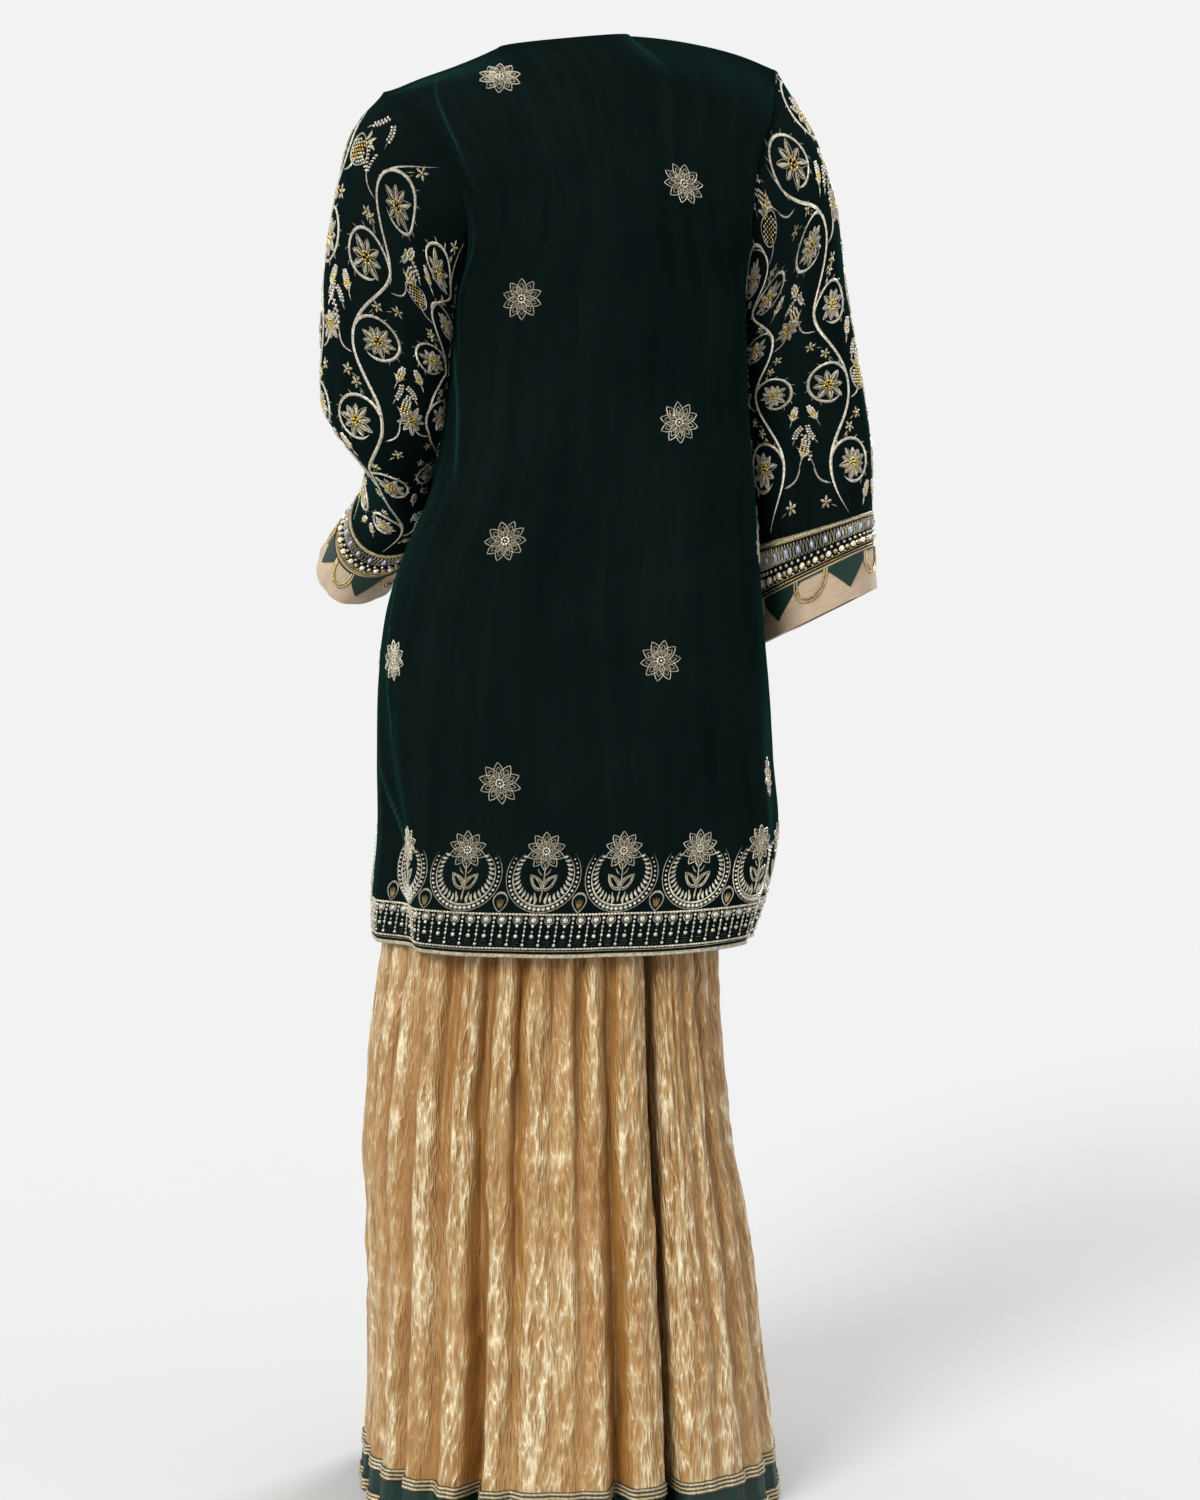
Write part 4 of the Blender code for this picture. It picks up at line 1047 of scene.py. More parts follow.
def stage_material(name, colour):
    """Matt pale paper with a trace of tooth."""
    made = Finish(name, colour, 1.0, Specular_IOR_Level=0.0)
    made.bump(made.noise(made.node("TexCoord", out="Object"), 260.0, 2.0), 0.0002, 0.1)


# ---------------------------------------------------------------- pieces


def make_kurta():
    """Two velvet panels, walls turned inwards from their outer faces, and a piping under each hem."""
    u = np.linspace(-1, 1, PANEL_COLUMNS + 1)
    v = np.linspace(0, 1, PANEL_ROWS + 1)
    armpit = np.searchsorted(v, panel_heights()[ARMPIT])
    for panel, sign in PANELS:
        outer = kurta_surface(panel, u, v)
        normal = normals(outer, sign)
        seams = np.zeros(outer.shape[:2], bool)
        seams[: armpit + 1, [0, -1]] = True
        seams[-1, np.abs(u) > NECK_SHARE - 0.01] = True
        normal = square_to_seam(normal, seams, 1)
        # Painted teal sheen: the creases' narrowed bells, passed on as the velvet's depth attribute.
        lines = np.max([high * bell for high, bell in panel_creases(panel, u, outer, SHEEN_LINE_NARROWING)], axis=0)
        made = cloth(f"kurta_{panel}_velvet", outer, outer - normal * VELVET, sign,
                     Materials["bottle green velvet"], painted_shading=lines / HIGHEST_CREASE)
        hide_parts("kurta_" + panel)
        edge = np.stack([outer[0] - (0, 0, SEAM + PIPING_HIGH), outer[0] - (0, 0, SEAM)])
        cord = np.stack([edge[0], edge[0] * 0.5 + edge[1] * 0.5, edge[1]])
        out = np.broadcast_to(normal[0], cord.shape)
        swelled = np.array([0.0, PIPING_ROUND, 0.0])[:, None, None]
        piping = cloth(f"kurta_{panel}_piping", cord + out * swelled, cord - out * (VELVET + swelled), sign,
                       Materials["piping cord"], sharp=3.0)
        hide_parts("kurta_piping_" + panel)


def make_sleeves():
    """Two velvet sleeves, closed tubes from the armhole to the wrist."""
    w = np.linspace(0, 1, SLEEVE_COLUMNS, endpoint=False)
    v = np.linspace(0, 1, SLEEVE_ROWS + 1)
    for side, name in SIDES:
        outer = sleeve_surface(side, w, v)
        normal = normals(outer, side, ring=True)
        seam = np.zeros(outer.shape[:2], bool)
        seam[0] = True
        normal = square_to_seam(normal, seam, 0)
        made = cloth(f"sleeve_{name}_velvet", outer, outer - normal * VELVET, side,
                     Materials["bottle green velvet"], ring=True)
        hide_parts("sleeve_" + name)


def make_cuffs():
    """Silk bands past the sleeve ends, with pointed green facings."""
    w = np.linspace(0, 1, CUFF_COLUMNS, endpoint=False)
    for side, name in SIDES:
        band = cuff_surface(side, w, np.linspace(CUFF_SEAM, CUFF_BAND, CUFF_ROWS))
        normal = normals(band, side, ring=True)
        ease = (lattice(EASE_SEED + side, w * EASE_CELLS, w * 0, EASE_CELLS) - 0.5) * EASE_HIGH
        ease = ease[None, :] * np.linspace(0, 1, CUFF_ROWS)[:, None] ** 1.5
        band = band + normal * ease[..., None]
        made = cloth(f"cuff_band_{name}_silk", band, band - normal * SILK, side, Materials["cream raw silk"],
                     ring=True)
        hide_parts("cuff_band_" + name)
        top = band[0] + (band[-1] - band[0]) * POINTS_START
        beside = np.abs(np.mod(w * CUFF_REPEATS, 1) - 0.5) * 2
        share = POINTS_BAND + POINTS_LONG * np.clip(1 - beside * POINTS_STEEP, 0, 1)
        rows = np.linspace(0, 1, POINTS_ROWS)[:, None]
        places = (POINTS_START + (share[None, :] - POINTS_START) * rows) * (CUFF_ROWS - 1)
        low = np.clip(np.floor(places).astype(int), 0, CUFF_ROWS - 2)
        part = (places - low)[..., None]
        columns = np.arange(CUFF_COLUMNS)[None, :]
        over = band[low, columns] * (1 - part) + band[low + 1, columns] * part
        over = over + normal[:1] * (SEAM + TRIM)
        points = cloth(f"cuff_points_{name}_silk", over, over - normal[:1] * TRIM, side,
                       Materials["green raw silk"], ring=True)
        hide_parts("cuff_points_" + name)


def leg_grid(outer_columns, inner_columns):
    """Places around a leg: the outer side from 0 to 1 and the inner side from 1 to 2."""
    return np.concatenate([np.linspace(0, 1, outer_columns + 1),
                           1 + np.linspace(0, 1, inner_columns + 2)[1:-1]])


def leg_cloth(name, node_name, side, z, lift, thickness, finish, q, crinkle=False, shape=None):
    """A piece of the trousers: a leg, its band or a trim, lift beyond the leg's outer face."""
    middle, painted_shading = leg_surface(side, z, q, crinkle)
    outer_count = np.searchsorted(q, 1.0)
    normal = normals(middle, side, ring=True)
    above = z > CROTCH + 0.001
    seam = np.zeros(middle.shape[:2], bool)
    seam[:, [0, outer_count]] = above[:, None]
    normal = square_to_seam(normal, seam, 0)
    left_out = np.zeros((len(z) - 1, len(q)), bool)
    left_out[above[:-1], outer_count:] = True
    raised = np.zeros(middle.shape[:2]) if shape is None else shape(z, q)
    outer = middle + normal * (lift + raised)[..., None]
    inner = middle + normal * (lift - thickness)
    made = cloth(name, outer, inner, side, finish, True, left_out if above.any() else None, painted_shading=painted_shading,
                 sharp=1.6)
    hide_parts(node_name)
    return made


def braid(top, down):
    """The height of a woven braid: three ribs along it and a fine repeat across it."""

    def shape(z, q):
        place = np.clip((top - z) / TRIM_HIGH, 0, 1)[:, None]
        ribs = np.abs(np.sin(place * np.pi * BRAID_RIBS))
        beads = 0.6 + 0.4 * np.sin(q * np.pi * BRAID_REPEATS)[None, :]
        return BRAID_HIGH * ribs * beads

    return shape


def make_trousers(settings):
    """Two gathered legs of tissue with silk hem bands between two braids, and a gathered waistband."""
    q = leg_grid(OUTER_COLUMNS, INNER_COLUMNS)
    fine = leg_grid(*BRAID_COLUMNS)
    hidden = np.linspace(WAIST, UNDER_KURTA, HIDDEN_ROWS, endpoint=False)
    crotch = np.argmin(np.abs(hidden - CROTCH))
    hidden[crotch] = CROTCH
    shown = np.linspace(UNDER_KURTA, BAND_TOP, SHOWN_ROWS + 1)
    for side, name in SIDES:
        leg = leg_cloth(f"leg_{name}_tissue", "leg_" + name, side, np.concatenate([hidden, shown]), 0.0,
                        TISSUE, Materials["gold tissue"], q, crinkle=True)
        band = leg_cloth(f"hem_band_{name}_silk", "hem_band_" + name, side,
                         np.linspace(BAND_TOP - SEAM, HEM, BAND_ROWS), 0.0, SILK, Materials["green raw silk"],
                         q)
        for place, top in (("upper", BAND_TOP + TRIM_HIGH / 2), ("lower", HEM + TRIM_HIGH)):
            rows = np.linspace(top, top - TRIM_HIGH, BRAID_ROWS)
            leg_cloth(f"hem_braid_{place}_{name}", f"hem_trim_{place}_{name}", side, rows,
                                   SEAM + TRIM, TRIM, Materials["gold braid"], fine,
                                   shape=braid(top, rows[-1]))

    t = np.linspace(0, 2 * np.pi, WAIST_COLUMNS, endpoint=False)
    o = OUTLINES[0]
    middle, half = (o.left + o.right) / 2, (o.left - o.right) / 2
    depth = np.where(np.sin(t) > 0, o.back, -o.front)
    across, out = superellipse(t, SQUARE_LEGS)
    x, y = middle + half * across, depth * out
    z = np.linspace(o.z + SEAM, o.z + WAISTBAND, WAIST_ROWS)
    band = np.stack([np.stack([x, y, np.full(len(t), height)], axis=1) for height in z])
    normal = normals(band, 1, ring=True)
    up = np.sin(np.pi * (z - z[0]) / (z[-1] - z[0]))
    tucks = TUCK_DEEP * np.sin(t * WAIST_TUCKS)[None, :] * up[:, None]
    band = band + normal * tucks[..., None]
    made = cloth("waistband_tissue", band, band - normal * TISSUE, 1, Materials["gold tissue"], ring=True)
    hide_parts("waistband")


def make_stage(settings):
    """A wide pale floor under the hem, a pale sky, soft lights on both sides and the camera."""
    size = settings.floor_half
    t = np.linspace(-size, size, FLOOR_POINTS)
    x, y = np.meshgrid(t, t, indexing="ij")
    points = np.stack([x, y, np.full_like(x, HEM - FLOOR_BELOW)], axis=-1)
    rows, columns = points.shape[:2]
    i, j = np.meshgrid(np.arange(rows - 1), np.arange(columns - 1), indexing="ij")
    faces = np.stack([i * columns + j, (i + 1) * columns + j, (i + 1) * columns + j + 1, i * columns + j + 1],
                     axis=-1).reshape(-1, 4)
    mesh = bpy.data.meshes.new("floor")
    mesh.from_pydata(points.reshape(-1, 3).tolist(), [], faces.tolist())
    stage_material("pale paper", settings.floor_colour[:])
    mesh.materials.append(Materials["pale paper"])
    floor = bpy.data.objects.new("floor", mesh)
    bpy.context.scene.collection.objects.link(floor)

    world = bpy.data.worlds.new("studio")
    bpy.context.scene.world = world
    bpy.context.scene.view_settings.view_transform = "Standard"
    world.use_nodes = True
    background = world.node_tree.nodes["Background"]
    background.inputs["Color"].default_value = (*settings.sky[:], 1.0)
    background.inputs["Strength"].default_value = 1.0

    for name, place, power in (
        ("key light", KEY_FROM, settings.key_power),
        ("side light", SIDE_FROM, settings.side_power),
        ("front key light", (-KEY_FROM[0], -KEY_FROM[1], KEY_FROM[2]), settings.key_power),
        ("front side light", (-SIDE_FROM[0], -SIDE_FROM[1], SIDE_FROM[2]), settings.side_power),
    ):
        lamp = bpy.data.lights.new(name, "SUN")
        lamp.energy, lamp.angle = power, settings.softness
        lit = bpy.data.objects.new(name, lamp)
        lit.location = place
        lit.rotation_euler = (-Vector(place)).to_track_quat("-Z", "Y").to_euler()
        bpy.context.scene.collection.objects.link(lit)

    camera = bpy.data.objects.new("camera", bpy.data.cameras.new("camera"))
    camera.data.lens, camera.data.sensor_width = settings.lens, SENSOR
    turn, dip = np.radians(CAMERA_TURN), np.radians(CAMERA_DIP)
    camera.location = CAMERA_AT
    ahead = Vector((-np.sin(turn) * np.cos(dip), -np.cos(turn) * np.cos(dip), -np.sin(dip)))
    camera.rotation_euler = ahead.to_track_quat("-Z", "Y").to_euler()
    bpy.context.scene.collection.objects.link(camera)
    bpy.context.scene.camera = camera


# ---------------------------------------------------------------- charts and stitches


class Chart:
    """Metres on a cloth surface: across from a middle column, and up from its lowest row.

    Each row of the grid is measured along its own length and read off at even steps, so that a
    motif keeps its size wherever it lies. Places between rows and steps are blended."""

    def __init__(self, points, normal, middle, rise, ring=False):
        laps = 3 if ring else 1
        looped = np.concatenate([points] * laps, axis=1)
        facing = np.concatenate([normal] * laps, axis=1)
        centre = middle + (points.shape[1] if ring else 0)
        steps = np.linalg.norm(np.diff(looped, axis=1), axis=2)
        lengths = np.concatenate([np.zeros((len(points), 1)), np.cumsum(steps, axis=1)], axis=1)
        lengths = lengths - lengths[:, [centre]]
        self.ups = run_of(points[:, rise])
        self.first = -CHART_REACH
        places = np.arange(-CHART_REACH, CHART_REACH, CHART_STEP)
        rows = []
        for k in range(len(points)):
            both = np.concatenate([looped[k], facing[k]], axis=1)
            rows.append(np.stack([np.interp(places, lengths[k], axis) for axis in both.T], axis=1))
        self.table = np.stack(rows)
        wrapped = np.concatenate([points, points[:, :1]], axis=1)
        self.laps = np.linalg.norm(np.diff(wrapped, axis=1), axis=2).sum(axis=1)
        self.halves = np.minimum(lengths[:, -1], -lengths[:, 0])
        j, k = len(places) // 2, len(points) // 2
        across = self.table[k, j + 1, :3] - self.table[k, j, :3]
        up = self.table[k + 1, j, :3] - self.table[k, j, :3]
        self.turned = np.dot(np.cross(across, up), self.table[k, j, 3:]) < 0

    def at(self, spots, lifts):
        """Points at these places in metres, lifted off the surface."""
        row = np.interp(spots[:, 1], self.ups, np.arange(len(self.ups)))
        column = np.clip((spots[:, 0] - self.first) / CHART_STEP, 0, self.table.shape[1] - 1.001)
        i = np.clip(row.astype(int), 0, len(self.ups) - 2)
        j = column.astype(int)
        a, b = (row - i)[:, None], (column - j)[:, None]
        low = self.table[i, j] * (1 - b) + self.table[i, j + 1] * b
        high = self.table[i + 1, j] * (1 - b) + self.table[i + 1, j + 1] * b
        both = low * (1 - a) + high * a
        return both[:, :3] + both[:, 3:] * lifts[:, None]


class Motif:
    """Strokes and beads in metres around a middle, before they are laid on a cloth."""

    def __init__(self):
        self.strokes, self.dots = [], []

    def stroke(self, path, width, high, thread, closed=False, tapered=False):
        """A line of thread through the places of a path."""
        self.strokes.append((np.asarray(path, float), width, high, thread, closed, tapered))

    def spike(self, start, end, bend, count, width, high, thread):
        """A tapered stroke along a leaf's midrib."""
        self.stroke(leaf(start, end, bend, count), width, high, thread, False, True)

    def beads(self, spots, radius, high, thread, long=1.0):
        """Beads of one size at these places."""
        self.dots.append((np.atleast_2d(np.asarray(spots, float)), radius, high, thread, long))

    def add(self, other, x=0.0, y=0.0, turn=0.0, size=1.0):
        """Takes in another motif, turned about its middle, sized and moved."""
        for path, width, high, thread, closed, tapered in other.strokes:
            self.strokes.append((moved(path, x, y, turn, size), width, high, thread, closed, tapered))
        for spots, radius, high, thread, long in other.dots:
            self.dots.append((moved(spots, x, y, turn, size), radius, high, thread, long))


class Stitching:
    """Raised thread and beads on a chart, gathered into one object."""

    def __init__(self, chart):
        self.chart, self.count = chart, 0
        self.spots, self.lifts, self.lengths = [], [], []
        self.faces, self.threads = {3: [], 4: []}, {3: [], 4: []}

    def put(self, spots, lifts, lengths, faces, thread):
        """Takes in corners on the chart, their lifts and lengths of thread, and faces between them."""
        self.spots.append(spots)
        self.lifts.append(lifts)
        self.lengths.append(lengths)
        for group in faces:
            self.faces[group.shape[1]].append(group + self.count)
            self.threads[group.shape[1]].append(np.full(len(group), thread))
        self.count += len(spots)

    def stroke(self, path, width, high, thread, closed=False, tapered=False):
        """A ribbon of thread: a ridge along the path that falls to the cloth on both sides."""
        n = len(path)
        ahead = np.roll(path, -1, 0) - np.roll(path, 1, 0) if closed else np.gradient(path, axis=0)
        ahead /= np.linalg.norm(ahead, axis=1, keepdims=True) + 1e-12
        share = np.linspace(0, 1, n)
        ends = np.minimum(share, 1 - share) * STROKE_ENDS[0] + STROKE_ENDS[1]
        full = np.ones(n) if closed else np.minimum(1, ends)
        if tapered:
            full = np.sin(np.pi * np.clip(share, 0.02, 0.98)) ** 0.8
        half = np.stack([-ahead[:, 1], ahead[:, 0]], axis=1) * (full * width / 2)[:, None]
        run = run_of(path)
        spots = np.concatenate([path + half, path, path - half])
        lifts = np.concatenate([np.full(n, -SUNK), high * full, np.full(n, -SUNK)])
        k = np.arange(n if closed else n - 1)
        m = (k + 1) % n
        sides = [(k, k + n, m + n, m), (k + n, k + 2 * n, m + 2 * n, m + n)]
        faces = np.concatenate([np.stack(side, 1) for side in sides])
        self.put(spots, lifts, np.concatenate([run, run, run]), [faces], thread)

    def cord(self, path, radius, lift, thread, sides=6):
        """A round cord along the path: a ring of corners at each of its points."""
        n = len(path)
        ahead = np.gradient(path, axis=0)
        ahead /= np.linalg.norm(ahead, axis=1, keepdims=True) + 1e-12
        beside = np.stack([-ahead[:, 1], ahead[:, 0]], axis=1)
        run = run_of(path)
        angle = np.linspace(0, 2 * np.pi, sides, endpoint=False)[:, None]
        spots = (path[None] + beside[None] * radius * np.cos(angle)[..., None]).reshape(-1, 2)
        lifts = (lift + radius * np.sin(angle) + np.zeros((1, n))).ravel()
        s, k = np.meshgrid(np.arange(sides), np.arange(n - 1), indexing="ij")
        t = (s + 1) % sides
        faces = np.stack([s * n + k, s * n + k + 1, t * n + k + 1, t * n + k], axis=-1).reshape(-1, 4)
        self.put(spots, lifts, np.tile(run, sides), [faces], thread)

    def beads(self, spots, radius, high, thread, long=1.0, sides=7):
        """Domed beads: two rings and a top each. long stretches them up and down the cloth."""
        angle = np.linspace(0, 2 * np.pi, sides, endpoint=False)
        ring = np.stack([np.cos(angle), np.sin(angle) * long], axis=1) * radius
        one = np.concatenate([ring, ring * BEAD_SHOULDER, [[0.0, 0.0]]])
        rise = np.concatenate([np.full(sides, -SUNK), np.full(sides, high * BEAD_SHOULDER), [high]])
        k = np.arange(sides)
        m = (k + 1) % sides
        quads = np.stack([k, m, m + sides, k + sides], axis=1)
        tops = np.stack([k + sides, m + sides, np.full(sides, 2 * sides)], axis=1)
        start = (np.arange(len(spots)) * len(one))[:, None, None]
        groups = [(quads[None] + start).reshape(-1, 4), (tops[None] + start).reshape(-1, 3)]
        places = (spots[:, None] + one[None]).reshape(-1, 2)
        self.put(places, np.tile(rise, len(spots)), np.zeros(len(places)), groups, thread)

    def place(self, motif, x, y, turn=0.0, size=1.0):
        """Lays a motif on the cloth, turned about its middle and sized."""
        laid = Motif()
        laid.add(motif, x, y, turn, size)
        for path, *rest in laid.strokes:
            self.stroke(path, *rest)
        for spots, *rest in laid.dots:
            self.beads(spots, *rest)

    def made(self, name):
        """One object of all that was stitched, laid on the cloth."""
        spots, lifts = np.concatenate(self.spots), np.concatenate(self.lifts)
        points = self.chart.at(spots, lifts)
        lengths = np.stack([np.concatenate(self.lengths), lifts], axis=1)
        faces, corner_uv, threads = [], [], []
        for sides in (4, 3):
            if self.faces[sides]:
                group = np.concatenate(self.faces[sides])
                group = group[:, ::-1] if self.chart.turned else group
                faces += group.tolist()
                corner_uv.append(lengths[group].reshape(-1, 2))
                threads.append(np.concatenate(self.threads[sides]))
        used, picks = np.unique(np.concatenate(threads), return_inverse=True)
        finishes = [Materials[THREADS[k]] for k in used]
        piece = finished(name, points, faces, np.concatenate(corner_uv), finishes, picks, 1.2)
        return piece


def moved(path, x, y, turn, size=1.0):
    """Places turned about the middle, sized and moved."""
    c, s = np.cos(turn) * size, np.sin(turn) * size
    return np.stack([x + path[:, 0] * c - path[:, 1] * s, y + path[:, 0] * s + path[:, 1] * c], axis=1)


def row_at(x, up):
    """Places across at one height."""
    return np.stack([x, np.full_like(x, up)], axis=1)


def spread(count, length):
    """Evenly spaced places across a length, about its middle."""
    return (np.arange(count) + 0.5) * length / count - length / 2


def arc(radius, start, end, count):
    """An arc about the middle; angles in degrees from the lowest place, rising to the right."""
    t = np.radians(np.linspace(start, end, count))
    return np.stack([radius * np.sin(t), -radius * np.cos(t)], axis=1)


def petal(start, end, half, count=14):
    """A closed petal pointing up: width follows the sine of its length, drawn in to a point."""
    t = np.linspace(0, 2 * np.pi, count, endpoint=False)
    y = start + (end - start) * (1 - np.cos(t)) / 2
    x = half * 1.3 * np.sin(t) * np.abs(np.cos(t / 2)) ** 0.7
    return np.stack([x, y], axis=1)


def leaf(start, end, bend, count=7):
    """The midrib of a leaf from one place to another, bowed sideways as a half sine."""
    start, end = np.array(start, float), np.array(end, float)
    run = end - start
    t = np.linspace(0, 1, count)[:, None]
    side = np.array([-run[1], run[0]])
    return start + run * t + side * bend * np.sin(np.pi * t)


def rosette(petals, count):
    """Petals, by turns, set evenly about the middle."""
    made = Motif()
    for k, turn in enumerate(np.arange(count) * 2 * np.pi / count):
        made.add(petals[k % len(petals)], turn=turn)
    return made


def looped_flower(radius):
    """A flower of looped petals: two outlines and a midrib each, about a ring of beads."""
    one = Motif()
    one.stroke(petal(0.16 * radius, radius, 0.23 * radius), 0.0013, 0.0009, SILVER, True)
    one.stroke(petal(0.28 * radius, 0.78 * radius, 0.12 * radius, 10), 0.0011, 0.0009, PALE, True)
    one.stroke(leaf((0, 0.2 * radius), (0, 0.62 * radius), 0, 4), 0.0010, 0.0009, SILVER)
    made = rosette([one], 10)
    made.beads(arc(0.17 * radius, 0, 315, 8), 0.0011, 0.0014, SILVER)
    made.beads([(0, 0)], 0.0015, 0.0020, STONE)
    return made


def crescent():
    """An open crescent with a flower standing in it, its middle at the circle's middle.

    Round it go an outline, a row of stones, largest at the bottom, a satin arc and leaf spikes."""
    made = Motif()
    made.stroke(arc(0.0345, -128, 128, 60), 0.0010, 0.0008, SILVER)
    for angle in np.arange(-120, 121, 8.0):
        made.beads(arc(0.0316, angle, angle, 1), 0.0022 - 0.0012 * abs(angle) / 120, 0.0022, STONE)
    made.stroke(arc(0.0284, -138, 138, 60), 0.0024, 0.0013, SILVER, False, True)
    for angle in np.concatenate([np.arange(-132, -9, 10.0), np.arange(12, 133, 10.0)]):
        foot = arc(0.0282, angle, angle, 1)[0]
        tip = foot * 0.74 + arc(0.0012, angle + 26 * np.sign(angle), 0, 1)[0] + (0.0, 0.0026)
        made.spike(foot, tip, 0.12 * np.sign(angle), 5, 0.0032, 0.0013, SILVER)
    for x in (-0.0045, 0.0, 0.0045):
        made.spike((x, -0.0255), (x * 1.4, -0.0165 + abs(x) * 0.3), 0, 5, 0.0026, 0.0011, PALE)
    made.stroke(leaf((0, -0.0250), (0, 0.0120), 0.02, 9), 0.0013, 0.0011, SILVER)
    for side in (-1, 1):
        for shape, wide, high, thread in ((petal(0.0, 0.0185, 0.0044, 16), 0.0010, 0.0010, SILVER),
                                          (petal(0.002, 0.0165, 0.0030, 12), 0.0019, 0.0008, PALE)):
            made.stroke(moved(shape, 0, -0.0130, side * -0.72), wide, high, thread, True)
        made.stroke(leaf((0, -0.0130), (side * 0.0108, 0.0010), side * 0.06, 7), 0.0009, 0.0010, SILVER)
        made.spike((side * 0.0008, 0.0), (side * 0.0062, 0.0075), side * -0.1, 5, 0.0014, 0.0010, PALE)
    made.add(looped_flower(0.0178), 0.0, 0.0232)
    return made


def teardrop():
    """A drop standing on its point: a satin arc over it and a fan of threads within."""
    made = Motif()
    made.stroke(moved(petal(0.0, 0.0180, 0.0062, 18), 0, 0.0180, np.pi), 0.0013, 0.0010, SATIN, True)
    t = np.linspace(-1.5, 1.5, 12)
    top = np.stack([0.0058 * np.sin(t), 0.0118 + 0.0062 * np.cos(t)], axis=1)
    made.stroke(top, 0.0026, 0.0015, SATIN, False, True)
    for x in (-0.0036, -0.0018, 0.0, 0.0018, 0.0036):
        made.spike((x * 0.2, 0.0025), (x, 0.0135 - abs(x) * 0.4), 0, 4, 0.0011, 0.0008, GOLD)
    return made


def lace_repeat():
    """One repeat of the lace band, its middle at the hem's edge: a gem pendant, a pillar, crowns."""
    made = Motif()
    made.stroke(arc(0.0042, -180, 160, 12) + (0, 0.0318), 0.0010, 0.0009, SILVER, True)
    made.stroke([(0, 0.0250), (0, 0.0215)], 0.0012, 0.0009, PALE)
    made.stroke([(PILLAR_X, 0.0355), (PILLAR_X, 0.0210), (PILLAR_X, 0.0065)], 0.0012, 0.0011, SILVER)
    for half, y, wide, high, thread in CROWN_LINES:
        made.stroke([(-half, y), (half, y)], wide, high, thread)
    for x, y, radius, high, thread in LACE_BEADS:
        made.beads([(x, y)], radius, high, thread)
    return made


def lace_band(stitching, left, right):
    """The lace between two places across: a beaded line over and under repeats."""
    middle = (left + right) / 2
    count = int((right - left) / LACE_PITCH)
    repeat = lace_repeat()
    for k in range(count):
        stitching.place(repeat, middle + (k - (count - 1) / 2) * LACE_PITCH, 0.0)
    line = np.linspace(left, right, BORDER_POINTS)
    for up, width, high in ((0.0372, 0.0022, 0.0012), (0.0048, 0.0020, 0.0012), (0.0026, 0.0009, 0.0008)):
        stitching.stroke(row_at(line, up), width, high, PALE)
    for up, pitch, radius in ((0.0372, 0.0031, 0.0013), (0.0048, 0.0034, 0.0011)):
        stitching.beads(row_at(np.arange(left, right, pitch), up), radius, 0.0019, SILVER)


def filled_flower(radius, count):
    """A flower of ribbed petals in two lengths, about a heap of yellow beads."""
    petals = []
    for reach in (0.84 * radius, radius):
        one = Motif()
        one.spike((0, 0.2 * radius), (0, reach), 0.04, 6, 0.24 * radius, 0.0013, PALE)
        one.stroke(petal(0.2 * radius, reach, 0.16 * radius, 12), 0.0010, 0.0012, SILVER, True)
        one.beads([(0.0, reach * 0.80)], 0.06 * radius, 0.0018, STONE)
        petals.append(one)
    made = rosette(petals, count)
    made.beads(arc(0.25 * radius, 0, 315, 8), 0.095 * radius, 0.0020, YELLOW)
    made.beads(arc(0.11 * radius, 0, 240, 3), 0.085 * radius, 0.0026, YELLOW)
    return made


def bud(length):
    """An upright bud: rows of small beads that widen and close, over two small leaves."""
    made = Motif()
    for k in range(9):
        share = k / 8
        wide = 1 + int(round(2.4 * np.sin(np.pi * (0.12 + 0.80 * share))))
        x = (np.arange(wide) - (wide - 1) / 2) * 0.125 * length
        thread = YELLOW if k in (2, 3) else STONE
        made.beads(row_at(x, (0.24 + 0.72 * share) * length), 0.058 * length, 0.0017, thread)
    for side in (-1, 1):
        made.spike((0, 0), (side * 0.32 * length, 0.46 * length), side * 0.2, 6, 0.13 * length, 0.0011, PALE)
    made.stroke([(0, -0.30 * length), (0, -0.05 * length), (0, 0.20 * length)], 0.0016, 0.0011, SILVER)
    return made


def small_flower(radius):
    """Five short petals about a bead, on a short stalk."""
    one = Motif()
    one.spike((0, 0.15 * radius), (0, radius), 0, 5, 0.55 * radius, 0.0012, PALE)
    made = rosette([one], 5)
    made.beads([(0, 0)], 0.24 * radius, 0.0020, YELLOW)
    made.stroke([(0, -0.9 * radius), (0, -1.5 * radius), (0, -2.1 * radius)], 0.0014, 0.0009, SILVER)
    return made


def bead_heap(size):
    """Two rows of small beads in a V, with a spike of beads between them."""
    made = Motif()
    for side in (-1, 0, 1):
        for k in range(6 if side else 8):
            spot = (side * (0.10 + 0.15 * k) * size, (-0.7 + (0.22 if side else 0.26) * k) * size)
            made.beads([spot], 0.105 * size, 0.0018, SILVER if k % 2 else STONE)
            made.beads([(spot[0] + 0.16 * size, spot[1] - 0.03 * size)], 0.085 * size, 0.0015, SILVER)
    return made


